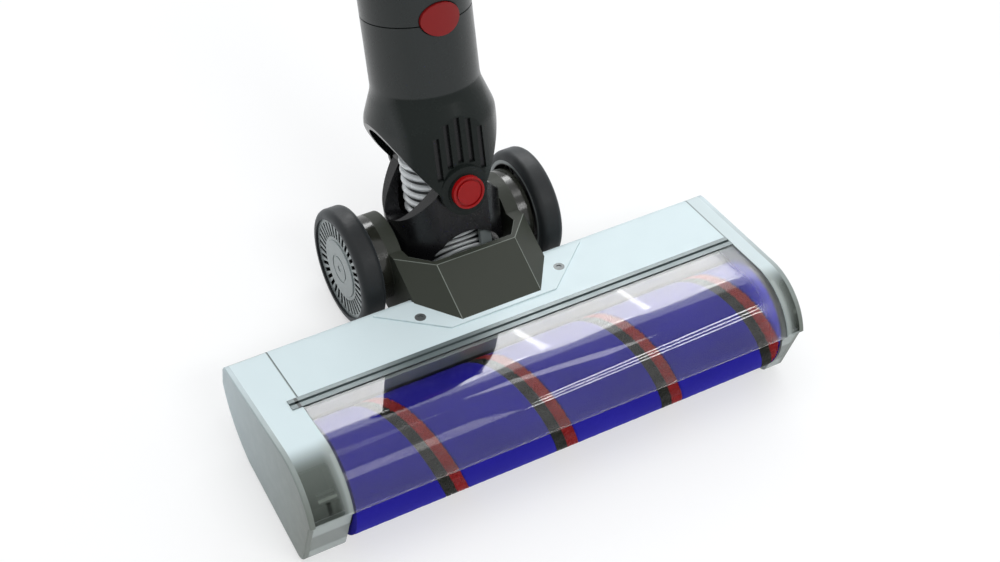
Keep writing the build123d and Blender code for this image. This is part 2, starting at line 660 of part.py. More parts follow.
# Small wheels in the sole, and their pins
for side, hand in ((-1, "left"), (1, "right")):
    with BuildPart() as sole_wheel:
        with BuildSketch(Plane.YZ.offset(side * SOLE_WHEEL_X)):
            with Locations((SOLE_WHEEL_Y, SOLE_WHEEL_R)):
                Circle(SOLE_WHEEL_R)
                Circle(SOLE_PIN_R + RUN_FIT, mode=Mode.SUBTRACT)
        extrude(amount=SOLE_WHEEL_W / 2, both=True)
    save(sole_wheel, f"{hand}_sole_wheel")
    with BuildPart() as sole_pin:
        with BuildSketch(Plane.YZ.offset(side * SOLE_WHEEL_X)):
            with Locations((SOLE_WHEEL_Y, SOLE_WHEEL_R)):
                Circle(SOLE_PIN_R)
        extrude(amount=SOLE_WHEEL_W / 2 + MOVE_GAP + 2, both=True)
    save(sole_pin, f"{hand}_sole_pin")

# Roller: plush sleeve on a tube, with a dark and a red bristle band wound round it side by side
with BuildPart() as roller_tube:
    with BuildSketch(Plane.YZ.offset(ROLL_X0)):
        with Locations((ROLL_Y, ROLL_Z)):
            Circle(TUBE_R)
            Circle(TUBE_IN_R, mode=Mode.SUBTRACT)
    extrude(amount=ROLL_X1 - ROLL_X0)
save(roller_tube, "roller_tube")

BAND_R = ROLL_R + BAND_PROUD - STRIP_DEPTH / 2
BAND_RISE = BAND_PITCH / (2 * pi * BAND_R)
bands = {}
for shift, colour in ((-BAND_W / 2, "dark"), (BAND_W / 2, "red")):
    start_x = ROLL_X0 + BAND_W
    start = 2 * pi * (start_x - BAND_TOP_X - shift) / BAND_PITCH
    outward = (0, -sin(start), cos(start))
    with BuildPart() as band:
        with BuildLine() as winding:
            coil = Helix(
                pitch=BAND_PITCH,
                height=ROLL_X1 - ROLL_X0 - 2 * BAND_W,
                radius=BAND_R,
                center=(start_x, ROLL_Y, ROLL_Z),
                direction=(1, 0, 0),
                mode=Mode.PRIVATE,
            )
            add(coil.rotate(ROLL_AXIS, degrees(start)))
        with BuildSketch(Plane(origin=winding.line @ 0, x_dir=outward, z_dir=winding.line % 0)):
            Rectangle(STRIP_DEPTH, (BAND_W - 2 * BAND_PROUD) / sqrt(1 + BAND_RISE**2))
        sweep(path=winding.line, is_frenet=True)
    save(band, f"{colour}_band")
    bands[colour] = band.part

with BuildPart() as plush_sleeve:
    with BuildSketch(Plane.YZ.offset(ROLL_X0)):
        with Locations((ROLL_Y, ROLL_Z)):
            Circle(ROLL_R)
            Circle(TUBE_R, mode=Mode.SUBTRACT)
    extrude(amount=ROLL_X1 - ROLL_X0)
    for piece in bands.values():
        add(piece, mode=Mode.SUBTRACT)
save(plush_sleeve, "plush_sleeve")

with BuildPart() as roller_bearing:
    with BuildSketch(Plane.YZ.offset(ROLL_X0)):
        with Locations((ROLL_Y, ROLL_Z)):
            Circle(TUBE_IN_R)
            Circle(MOTOR_R + RUN_FIT, mode=Mode.SUBTRACT)
    extrude(amount=BEARING_L)
save(roller_bearing, "roller_bearing")

with BuildPart() as roller_end_cap:
    with BuildSketch(Plane.YZ.offset(ROLL_X1)):
        with Locations((ROLL_Y, ROLL_Z)):
            Circle(ROLL_R - BAND_PROUD)
    extrude(amount=ROLL_CAP_T)
    with BuildSketch(Plane.YZ.offset(ROLL_X1)):
        with Locations((ROLL_Y, ROLL_Z)):
            Circle(TUBE_IN_R)
    extrude(amount=-BEARING_L)
    with BuildSketch(Plane.YZ.offset(ROLL_X1 + ROLL_CAP_T)):
        with Locations((ROLL_Y, ROLL_Z)):
            Circle(SPIGOT_R + RUN_FIT)
    extrude(amount=-BEARING_L - ROLL_CAP_T, mode=Mode.SUBTRACT)
save(roller_end_cap, "roller_end_cap")

# Drive motor inside the roller, and the dog on its shaft that turns the tube
with BuildPart() as drive_motor:
    with BuildSketch(Plane.YZ.offset(LEFT_SEAM - BOX_WALL)):
        with Locations((ROLL_Y, ROLL_Z)):
            Circle(MOTOR_R)
    extrude(amount=MOTOR_L + BOX_WALL)
    with BuildSketch(Plane.YZ.offset(LEFT_SEAM - BOX_WALL)):
        with Locations((ROLL_Y, ROLL_Z)):
            Circle(MOTOR_FLANGE_R)
    extrude(amount=-2 * BOX_WALL)
    with BuildSketch(Plane.YZ.offset(MOTOR_END)):
        with Locations((ROLL_Y, ROLL_Z)):
            Circle(SPIGOT_R + RUN_FIT)
    extrude(amount=-BEARING_L - MOVE_GAP, mode=Mode.SUBTRACT)
save(drive_motor, "drive_motor")

with BuildPart() as drive_dog:
    with BuildSketch(Plane.YZ.offset(MOTOR_END - BEARING_L)):
        with Locations((ROLL_Y, ROLL_Z)):
            Circle(SPIGOT_R)
    extrude(amount=2 * BEARING_L)
    with BuildSketch(Plane.YZ.offset(MOTOR_END + MOVE_GAP)):
        with Locations((ROLL_Y, ROLL_Z)):
            Circle(TUBE_IN_R)
            with PolarLocations((TUBE_IN_R + SPIGOT_R) / 2, 3):
                Circle(SPIGOT_R, mode=Mode.SUBTRACT)
    extrude(amount=BEARING_L)
save(drive_dog, "drive_dog")

# Rear wheels with their axles, and the pins the yoke swings on
for side, hand in ((-1, "left"), (1, "right")):
    with BuildPart() as tyre:
        with BuildSketch(axle_plane(side)) as tyre_section:
            with Locations((WHEEL_IN_X, HUB_OUT_R)):
                Rectangle(WHEEL_W, TYRE_T, align=(Align.MIN, Align.MIN))
            fillet(tyre_section.vertices().group_by(Axis.Y)[-1], TYRE_ROUND)
        revolve(axis=AXLE_AXIS)
    save(tyre, f"{hand}_tyre")

    face = Plane(origin=(side * (WHEEL_X - HUB_FACE_IN), AXLE_Y, AXLE_Z), x_dir=(0, side, 0), z_dir=(side, 0, 0))
    with BuildPart() as hub:
        with BuildSketch(face):
            Circle(HUB_OUT_R)
            Circle(AXLE_R + RUN_FIT, mode=Mode.SUBTRACT)
        extrude(amount=-HUB_T)
        with BuildSketch(face.offset(-HUB_T)):
            Circle(HUB_OUT_R)
            Circle(HUB_OUT_R - HUB_RIM, mode=Mode.SUBTRACT)
            Circle(2 * AXLE_R)
            Circle(AXLE_R + RUN_FIT, mode=Mode.SUBTRACT)
        extrude(amount=HUB_T + HUB_FACE_IN - WHEEL_W)
        with BuildSketch(face):
            with PolarLocations((SLOT_IN_R + SLOT_OUT_R) / 2, SLOT_COUNT):
                Rectangle(SLOT_OUT_R - SLOT_IN_R, SLOT_W)
        extrude(amount=-HUB_T, mode=Mode.SUBTRACT)
    save(hub, f"{hand}_hub")

    with BuildPart() as hub_cap:
        with BuildSketch(face):
            Circle(CAP_R)
        extrude(amount=HUB_FACE_IN / 2)
        chamfer(hub_cap.faces().sort_by(Axis.X)[-1 if side > 0 else 0].edges(), HUB_FACE_IN / 4)
        with BuildSketch(face.offset(HUB_FACE_IN / 2)):
            Circle(CAP_R / 2)
            Circle(CAP_R / 2 - 1, mode=Mode.SUBTRACT)
            Circle(AXLE_R / 2)
        extrude(amount=-HUB_FACE_IN / 4, mode=Mode.SUBTRACT)
    save(hub_cap, f"{hand}_hub_cap")

    with BuildPart() as wheel_axle:
        with BuildSketch(axle_plane(side)):
            with Locations((SHROUD_HALF, 0)):
                Rectangle(WHEEL_X - HUB_FACE_IN - MOVE_GAP - SHROUD_HALF, AXLE_R, align=(Align.MIN, Align.MIN))
        revolve(axis=AXLE_AXIS)
    save(wheel_axle, f"{hand}_wheel_axle")

    with BuildPart() as pitch_pin:
        with BuildSketch(axle_plane(side)):
            with Locations((HUB_IN_X, 0)):
                Rectangle(SHROUD_HALF - HUB_IN_X, PITCH_PIN_R, align=(Align.MIN, Align.MIN))
        revolve(axis=AXLE_AXIS)
    save(pitch_pin, f"{hand}_pitch_pin")

# Yoke: cupped ring with a front and a rear arm that carry the neck
with BuildPart() as yoke:
    with BuildSketch(NECK):
        Circle(YOKE_R)
        Circle(YOKE_IN_R, mode=Mode.SUBTRACT)
    extrude(amount=PIVOT_S + ARM_HALF)
    for side in (-1, 1):
        with BuildSketch(axle_plane(side)):
            with Locations((HUB_IN_X, 0)):
                Rectangle(DRUM_IN_X - MOVE_GAP - HUB_IN_X, HUB_R, align=(Align.MIN, Align.MIN))
        revolve(axis=AXLE_AXIS)
    with BuildSketch(side_plane(0)):
        with Locations((0, PIVOT_S + ARM_HALF)):
            Ellipse(ARM_IN, PIVOT_S + ARM_HALF - YOKE_RIM_S)
    extrude(amount=2 * YOKE_R, both=True, mode=Mode.SUBTRACT)
    with BuildSketch(front_plane(0)):
        with BuildLine():
            Polyline(
                (-DRUM_IN_X, -2 * HUB_R),
                (DRUM_IN_X, -2 * HUB_R),
                (DRUM_IN_X, YOKE_RIM_S),
                (ARM_HALF, PIVOT_S),
                (-ARM_HALF, PIVOT_S),
                (-DRUM_IN_X, YOKE_RIM_S),
                close=True,
            )
        make_face()
        with Locations((0, PIVOT_S)):
            Circle(ARM_HALF)
    extrude(amount=2 * YOKE_R, both=True, mode=Mode.INTERSECT)
    for side in (-1, 1):
        with BuildSketch(front_plane(side * ARM_OUT)):
            Rectangle(3 * YOKE_R, 4 * PIVOT_S)
        extrude(amount=side * YOKE_R, mode=Mode.SUBTRACT)
    with BuildSketch(front_plane(0)):
        Rectangle(2 * HUB_IN_X, 4 * HUB_R, align=(Align.CENTER, Align.MAX))
        with Locations((0, 0)):
            Ellipse(HUB_IN_X, RING_S + HUB_GAP)
    extrude(amount=2 * YOKE_R, mode=Mode.SUBTRACT)
    with BuildSketch(pivot_plane(1)):
        Circle(PIVOT_R + RUN_FIT)
    extrude(amount=2 * YOKE_R, both=True, mode=Mode.SUBTRACT)
    with BuildSketch(Plane.YZ):
        with Locations((AXLE_Y, AXLE_Z)):
            Circle(PITCH_PIN_R + RUN_FIT)
    extrude(amount=2 * YOKE_R, both=True, mode=Mode.SUBTRACT)
save(yoke, "yoke")

with BuildPart() as hose_ring:
    with BuildSketch(NECK.offset(RING_S)):
        Circle(YOKE_IN_R)
        Circle(HOSE_IN_R, mode=Mode.SUBTRACT)
    extrude(amount=RING_L)
save(hose_ring, "hose_ring")

# Neck: tube that flares into a bell over the yoke, cut back at the sides and hung on two red pivots
with BuildPart() as neck_shell:
    low_s = PIVOT_S - TONGUE_R - 1
    flare = [(BELL_R, FLARE_LOW_S), (NECK_R, FLARE_TOP_S)]
    with BuildSketch(front_plane(0)) as outer_section:
        with BuildLine():
            Polyline((0, low_s), (BELL_R, low_s), *flare, (NECK_R, COLLAR_S), (0, COLLAR_S), close=True)
        make_face()
        for corner in flare:
            fillet(outer_section.vertices().sort_by_distance((*corner, 0))[0], FLARE_ROUND)
    revolve(axis=NECK_AXIS)
    with BuildSketch(front_plane(BELL_R - FRONT_FLAT)):
        with Locations((0, PIVOT_S)):
            Rectangle(3 * BELL_R, COLLAR_S, align=(Align.CENTER, Align.MIN))
            Circle(TONGUE_R, mode=Mode.SUBTRACT)
    extrude(amount=BELL_R, mode=Mode.SUBTRACT)
    with BuildSketch(front_plane(0)):
        with BuildLine():
            side_x = BELL_R + 1
            Polyline((side_x, CUT_SIDE_S), (side_x, COLLAR_S), (-side_x, COLLAR_S), (-side_x, CUT_SIDE_S))
            ThreePointArc((-side_x, CUT_SIDE_S), (-CUT_MID_X, CUT_MID_S), (-TONGUE_R, PIVOT_S))
            Line((-TONGUE_R, PIVOT_S), (TONGUE_R, PIVOT_S))
            ThreePointArc((TONGUE_R, PIVOT_S), (CUT_MID_X, CUT_MID_S), (side_x, CUT_SIDE_S))
        make_face()
        with Locations((0, PIVOT_S)):
            Circle(TONGUE_R)
    extrude(amount=2 * BELL_R, both=True, mode=Mode.INTERSECT)
    with BuildPart(mode=Mode.PRIVATE) as bore:
        with BuildSketch(front_plane(0)) as inner_section:
            inner_flare = [(BELL_R - BELL_WALL, FLARE_LOW_S), (NECK_R - NECK_WALL, FLARE_TOP_S)]
            with BuildLine():
                Polyline(
                    (0, 0),
                    (BELL_R - BELL_WALL, 0),
                    *inner_flare,
                    (NECK_R - NECK_WALL, 2 * COLLAR_S),
                    (0, 2 * COLLAR_S),
                    close=True,
                )
            make_face()
            for corner in inner_flare:
                fillet(inner_section.vertices().sort_by_distance((*corner, 0))[0], FLARE_ROUND)
        revolve(axis=NECK_AXIS)
        with BuildSketch(front_plane(BELL_R - FRONT_FLAT - FRONT_T)):
            Rectangle(4 * BELL_R, 6 * COLLAR_S)
        extrude(amount=2 * BELL_R, mode=Mode.SUBTRACT)
    add(bore.part, mode=Mode.SUBTRACT)
    for i in range(VENT_COUNT):
        vent_x = (i - (VENT_COUNT - 1) / 2) * VENT_STEP
        vent_low = PIVOT_S + sqrt(max(VENT_LOW**2 - vent_x**2, 0))
        vent_top = PIVOT_S + VENT_TOP - VENT_DROP * vent_x**2
        with BuildSketch(front_plane(BELL_R - FRONT_FLAT - VENT_T)):
            with Locations((vent_x, (vent_low + vent_top) / 2)):
                Rectangle(VENT_W, vent_top - vent_low)
        extrude(amount=2 * BELL_R, mode=Mode.SUBTRACT)
    with BuildSketch(pivot_plane(-1, ARM_OUT + MOVE_GAP)):
        Circle(PIVOT_CAP_R + 1)
    extrude(amount=BELL_R - ARM_OUT - MOVE_GAP)
    for side in (-1, 1):
        with BuildSketch(pivot_plane(side, BELL_R - BELL_WALL)):
            Circle(PIVOT_CAP_R + 1)
        extrude(amount=BELL_WALL)
    with BuildSketch(pivot_plane(1)):
        Circle(PIVOT_R)
    extrude(amount=2 * BELL_R, both=True, mode=Mode.SUBTRACT)
    with BuildSketch(front_plane(0)):
        with Locations((0, BUTTON_S)):
            Ellipse(BUTTON_W / 2 + MOVE_GAP, BUTTON_H / 2 + MOVE_GAP)
    extrude(amount=2 * NECK_R, mode=Mode.SUBTRACT)
save(neck_shell, "neck_shell")

for side, end in ((1, "front"), (-1, "rear")):
    with BuildPart() as roll_pin:
        with BuildSketch(pivot_plane(side, YOKE_IN_R)):
            Circle(PIVOT_R)
        extrude(amount=BELL_R - YOKE_IN_R)
        with BuildSketch(pivot_plane(side, BELL_R)):
            Circle(PIVOT_CAP_R)
        extrude(amount=PIVOT_CAP_T)
        with BuildSketch(pivot_plane(side, BELL_R + PIVOT_CAP_T)):
            Circle(PIVOT_CAP_R - 1)
            Circle(PIVOT_CAP_R - 2, mode=Mode.SUBTRACT)
        extrude(amount=-PIVOT_CAP_T / 3, mode=Mode.SUBTRACT)
    save(roll_pin, f"{end}_roll_pin")

# Collar with the socket for the wand, and the release button in its front
SPIGOT_OUT = NECK_R - NECK_WALL
SPIGOT_IN = (SPIGOT_OUT + SOCKET_R + SLEEVE_T) / 2
with BuildPart() as neck_collar:
    with BuildSketch(front_plane(0)) as collar_section:
        with BuildLine():
            Polyline(
                (SOCKET_R, NECK_TOP_S),
                (NECK_R, NECK_TOP_S),
                (NECK_R, COLLAR_S + COLLAR_GAP),
                (SPIGOT_OUT, COLLAR_S + COLLAR_GAP),
                (SPIGOT_OUT, COLLAR_S - BEARING_L),
                (SPIGOT_IN, COLLAR_S - BEARING_L),
                (SPIGOT_IN, NECK_TOP_S - NECK_WALL),
                (SOCKET_R + SLEEVE_T, NECK_TOP_S - NECK_WALL),
                (SOCKET_R + SLEEVE_T, NECK_TOP_S - SOCKET_L),
                (SOCKET_R, NECK_TOP_S - SOCKET_L),
                close=True,
            )
        make_face()
        chamfer(collar_section.vertices().sort_by_distance((NECK_R, NECK_TOP_S, 0))[0], RIM_CHAMFER)
    revolve(axis=NECK_AXIS)
    with BuildSketch(front_plane(SPIGOT_IN / 2)):
        with Locations((0, BUTTON_S)):
            Circle(STEM_R + MOVE_GAP)
    extrude(amount=NECK_R, mode=Mode.SUBTRACT)
    with BuildSketch(front_plane(SOCKET_R + SLEEVE_T)):
        with Locations((0, BUTTON_S)):
            Ellipse(BUTTON_W / 2 + MOVE_GAP, BUTTON_H / 2 + MOVE_GAP)
    extrude(amount=NECK_R, mode=Mode.SUBTRACT)
save(neck_collar, "neck_collar")

with BuildPart() as release_button:
    with BuildSketch(front_plane(NECK_R + BUTTON_PROUD - BUTTON_T)):
        with Locations((0, BUTTON_S)):
            Ellipse(BUTTON_W / 2, BUTTON_H / 2)
    extrude(amount=NECK_R)
    with BuildSketch(NECK):
        Circle(NECK_R + BUTTON_PROUD)
    extrude(amount=NECK_TOP_S, mode=Mode.INTERSECT)
    with BuildSketch(front_plane(SOCKET_R + STEM_CLEAR)):
        with Locations((0, BUTTON_S)):
            Circle(STEM_R)
    extrude(amount=NECK_R + BUTTON_PROUD - BUTTON_T / 2 - SOCKET_R - STEM_CLEAR)
save(release_button, "release_button")

with BuildPart() as contact_block:
    with BuildSketch(NECK.offset(CONTACT_S)):
        with Locations((0, SPIGOT_OUT)):
            Rectangle(CONTACT_W, CONTACT_W)
        Circle(SPIGOT_OUT, mode=Mode.INTERSECT)
    extrude(amount=COLLAR_S - BEARING_L - CONTACT_S)
save(contact_block, "contact_block")

# Ribbed hose: straight run up the neck, and a bend forward into the head
with BuildPart() as hose_upper:
    with BuildSketch(front_plane(0)):
        with BuildLine():
            low_s = RING_S + RING_L
            ribs = int((HOSE_TOP_S - low_s) / RIB_STEP)
            step = (HOSE_TOP_S - low_s) / ribs
            wave = [(HOSE_IN_R, low_s)]
            for i in range(ribs):
                s = low_s + i * step
                wave += [(HOSE_ROOT_R, s), (HOSE_ROOT_R, s + step - RIB_W)]
                wave += [(HOSE_R, s + step - RIB_W), (HOSE_R, s + step)]
            wave += [(HOSE_IN_R, HOSE_TOP_S)]
            Polyline(*wave, close=True)
        make_face()
    revolve(axis=NECK_AXIS)
save(hose_upper, "hose_upper")

with BuildPart() as upper_cuff:
    with BuildSketch(NECK.offset(HOSE_TOP_S)):
        Circle(SPIGOT_OUT)
        Circle(HOSE_IN_R, mode=Mode.SUBTRACT)
    extrude(amount=RING_L)
save(upper_cuff, "upper_cuff")

BEND_AXIS = Axis((0, *hose_at(0)), (1, 0, 0)).located(
    Location((0, -HOSE_BEND_R * LEAN_C, HOSE_BEND_R * LEAN_S))
)
with BuildPart() as hose_lower:
    with BuildSketch(hose_plane(0)):
        Circle(HOSE_ROOT_R)
        Circle(HOSE_IN_R, mode=Mode.SUBTRACT)
    revolve(axis=BEND_AXIS, revolution_arc=-HOSE_TURN)
    with BuildSketch(hose_plane(HOSE_TURN)):
        Circle(HOSE_ROOT_R)
        Circle(HOSE_IN_R, mode=Mode.SUBTRACT)
    extrude(amount=HOSE_RUN)
    ribs = int(radians(HOSE_TURN) * HOSE_BEND_R / RIB_STEP)
    rib_turn = degrees(RIB_W / HOSE_BEND_R)
    for i in range(ribs):
        with BuildSketch(hose_plane((i + 0.5) * HOSE_TURN / ribs - rib_turn / 2)):
            Circle(HOSE_R)
            Circle(HOSE_IN_R, mode=Mode.SUBTRACT)
        revolve(axis=BEND_AXIS, revolution_arc=-rib_turn)
save(hose_lower, "hose_lower")

with BuildPart() as lower_cuff:
    with BuildSketch(hose_plane(HOSE_TURN).offset(HOSE_RUN)):
        Circle(CUFF_R)
        Circle(HOSE_IN_R, mode=Mode.SUBTRACT)
    extrude(amount=CUFF_L)
save(lower_cuff, "lower_cuff")

with BuildPart() as yoke_tab:
    with BuildSketch(front_plane(HUB_IN_X)):
        with Locations((HOSE_R * 0.66, RING_S - HUB_GAP)):
            Rectangle(TAB_W, TAB_L, align=(Align.CENTER, Align.MAX))
    extrude(amount=TAB_T)
    add(yoke.part, mode=Mode.SUBTRACT)
save(yoke_tab, "yoke_tab")
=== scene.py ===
import json
import random
from math import cos, pi, radians, sin, sqrt

import bmesh
import bpy
from mathutils import Matrix, Vector


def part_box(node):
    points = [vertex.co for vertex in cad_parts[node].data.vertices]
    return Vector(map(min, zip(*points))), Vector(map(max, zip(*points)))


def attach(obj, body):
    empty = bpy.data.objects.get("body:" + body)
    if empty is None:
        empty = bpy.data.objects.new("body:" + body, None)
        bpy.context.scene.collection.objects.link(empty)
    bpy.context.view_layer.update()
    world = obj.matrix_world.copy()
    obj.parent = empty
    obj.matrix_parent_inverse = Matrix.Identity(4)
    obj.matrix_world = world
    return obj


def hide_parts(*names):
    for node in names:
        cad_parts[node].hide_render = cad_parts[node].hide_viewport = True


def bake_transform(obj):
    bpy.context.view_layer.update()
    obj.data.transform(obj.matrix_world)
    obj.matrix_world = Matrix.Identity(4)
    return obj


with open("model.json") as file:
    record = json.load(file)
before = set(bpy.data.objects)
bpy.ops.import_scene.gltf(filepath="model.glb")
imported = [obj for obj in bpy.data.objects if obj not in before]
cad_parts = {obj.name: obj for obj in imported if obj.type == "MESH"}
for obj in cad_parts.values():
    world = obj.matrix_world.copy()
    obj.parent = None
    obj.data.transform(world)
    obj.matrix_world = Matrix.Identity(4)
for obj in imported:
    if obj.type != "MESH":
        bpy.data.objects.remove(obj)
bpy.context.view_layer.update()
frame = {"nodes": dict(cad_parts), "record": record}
random.seed(7)
NODES = frame["nodes"]
JOINTS = {j["name"]: j for j in frame["record"]["behaviour"]["joints"]}
ROLL = Vector(JOINTS["roller_spin"]["pos_m"])
AXLE = Vector(JOINTS["neck_pitch"]["pos_m"])
PIVOT = Vector(JOINTS["neck_roll"]["pos_m"])
AHEAD = Vector(JOINTS["neck_roll"]["axis"])
UP = Vector((0, AHEAD.z, -AHEAD.y))
SIDE = Vector((1, 0, 0))
BACKWARD = Vector((0, 1, 0))
UPRIGHT = Vector((0, 0, 1))

# Neck in metres: S up its centre line, M ahead of it, X across; the button's gap of painted shade in squared
# half sizes
PIVOT_S = 0.0383
BUTTON_S = 0.119
BUTTON_HALF_W = 0.0093
BUTTON_HALF_H = 0.0073
BUTTON_GAP_SHADE = (1.15, 1.2)
FRONT_M = (0.004, 0.012)
FACET_S = 0.084
FACET_X = (-0.0205, 0.0195)
FACET_FADE = 0.0035
FACET_EDGE = 0.0004
VENTS = 5
VENT_STEP = 0.0054
VENT_HALF_W = 0.00138
VENT_LOW_R = 0.013
VENT_LIFT = 0.0001
VENT_TOP = 0.0349
VENT_ARCH = 60
# How far ahead the vents' black sheets of painted shade stand
VENT_SHADE_SHEET_M = 0.02625

# Hose in metres
RING_S = 0.013
RING_L = 0.006
RING_GAP = 0.0002
HOSE_TOP_S = 0.084
HOSE_WALL_R = 0.0157
HOSE_SIDES = 56
WALL_INSET = 0.0004
RIB_INSET = 0.0006
RIB_STEP = 0.0046
RIB_SHARE = 0.68
RIB_H = 0.0019
RIB_POINTS = 9
BEND_R = 0.028
BEND_TURN = radians(65)
HOSE_RUN = 0.0015

# Roller in metres
PLUSH_R = 0.0255
PLUSH_CORE_R = 0.0212
PLUSH_FOOT_R = 0.0222
PLUSH_SHOULDER_R = 0.0251
PLUSH_ROUND = 0.0004
PLUSH_COLUMNS = 34
PLUSH_FUZZ = 0.00007
PLUSH_END_INSET = 0.00005
PLUSH_END_GAP = 0.0001
PLUSH_SIDES = 128
RIBBON_STEPS = 110
BAND_FLOOR_R = 0.0244
BAND_TIP_R = 0.02562
BAND_PITCH = 0.0555
BAND_W = 0.0055
BAND_TOP_X = -0.0153
BAND_FOOT_INSET = 0.00005
BAND_FLOOR_INSET = 0.0002
TUFT_ROWS = 7
TUFT_STEP = 0.0009
TUFT_SHIFT = 0.0002
TUFT_END_GAP = 0.0006
TUFT_ROOT = 0.0003
TUFT_SHORT = 0.0003
TUFT_LEAN = 0.012
TUFT_JITTER = 0.3
TUFT_TWIST = 5
TUFT_ROOT_SIZE = (0.014, 0.00042)
TUFT_TIP_SIZE = (0.009, 0.00026)

# Wheel hubs and rear shroud in metres
# Painted shade inside the hub slots: squared radii where the rim begins, depths below the face
HUB_SLOT_R = (0.02262, 0.02268)
HUB_FACE_DEPTH = (0.0005, 0.0002)
# Black rings of painted shade behind the hub slots: depth in from the hub's side, radii and sides
HUB_SHADE_SHEET_BACK = 0.0022
HUB_SHADE_SHEET_R = (0.0146, 0.0228)
HUB_SHADE_SHEET_SIDES = 96
DRUM_X = (0.0341, 0.0345)
# Painted highlight strips on the shroud's edges: reach across, lowest height, least bend and half width
EDGE_HALF_X = 0.0339
EDGE_LOW_Z = 0.0465
EDGE_ANGLE = radians(20)
EDGE_R = 0.0002
SAME_PLACE = 1e-6

# Masks of the end boxes in metres: X in from the seam, Y behind the roller's axis, Z above the block
SHELF_X = (0.0055, 0.0135)
SHELF_Z = (0.0086, 0.0091)
POST_X = (0.0091, 0.0105)
POST_Z = (0.0025, 0.0074)
RIB_FADE_X = 0.0006
RIB_FADE_Z = 0.0007
# Heights of the painted shade that darkens the smoke towards the bottom
SMOKE_SHADE_Z = (0.0, 0.02)
SMOKE_Y = (-0.008, 0.006)
# Reach of the painted highlight on the rim
RIM_HIGHLIGHT_X = (0.0012, 0.0058)
RIM_HIGHLIGHT_Y = (-0.004, 0.006)
# Height of the painted highlight along the foot
FOOT_HIGHLIGHT_Z = (0.0007, 0.0011)
# Width of the painted shade along the seam
SEAM_SHADE_X = (0.0003, 0.0004)

# Masks of the head's other pieces in metres
# Widths of the painted shade at the top cover's seams
COVER_LEFT_SEAM_SHADE = (0.0003, 0.0006)
COVER_RIGHT_SEAM_SHADE = (0.0003, 0.0005)
TICK_X = (0.003, 0.0042)
TICK_FADE = 0.0003
# Heights and fade of the painted shade in the corner block's recess
BLOCK_RECESS_SHADE_Z = (0.0125, 0.0245)
BLOCK_FADE = 0.002
# Heights of the painted light on the chassis crest
CREST_LIGHT_Z = (0.022, 0.036)
MILKY_X = (0.001, 0.015)
LIP_Z = (0.0024, 0.0032)

# Moulded plastic: features per metre, depth of the grain in metres, and how much the gloss varies
CLOUD_SCALE = 28.0
GLOSS_SCALE = 160.0
GRAIN_DEPTH = 0.0002
GLOSS_DRIFT = 0.12


def neck_at(m, s, x=0.0):
    """Point m ahead of the neck's centre line and s up along it."""
    return PIVOT + AHEAD * m + UP * (s - PIVOT_S) + SIDE * x


# Node trees
class Tree:
    """A node tree with a few short cuts."""

    def __init__(self, nt):
        self.nt = nt

    def set(self, socket, value):
        """Link another node's socket to this one, or set a constant on it."""
        if isinstance(value, bpy.types.NodeSocket):
            self.nt.links.new(value, socket)
        else:
            socket.default_value = value

    def node(self, kind, *values, **settings):
        """New node, with values for its first sockets."""
        made = self.nt.nodes.new("ShaderNode" + kind)
        for name, setting in settings.items():
            setattr(made, name, setting)
        for socket, value in zip(made.inputs, values):
            self.set(socket, value)
        return made

    def math(self, operation, *values):
        return self.node("Math", *values, operation=operation).outputs[0]

    def ramp(self, value, lo, hi, to_lo=0.0, to_hi=1.0, smooth=False):
        """Value that goes from to_lo to to_hi while another goes from lo to hi."""
        kind = "SMOOTHSTEP" if smooth else "LINEAR"
        return self.node("MapRange", value, lo, hi, to_lo, to_hi, interpolation_type=kind).outputs["Result"]

    def seen(self):
        """Share that is 1 for rays from the camera, through clear pieces and off glossy ones."""
        path = self.node("LightPath").outputs
        share = self.math("MAXIMUM", path["Is Camera Ray"], path["Is Transmission Ray"])
        return self.math("MAXIMUM", share, path["Is Glossy Ray"])

    def surface(self, output, share, first, second):
        """Show one shader as far as the share is 0 and a second one as far as it is 1."""
        both = self.node("MixShader", share, first, second)
        self.set(self.nt.nodes[output].inputs["Surface"], both.outputs[0])


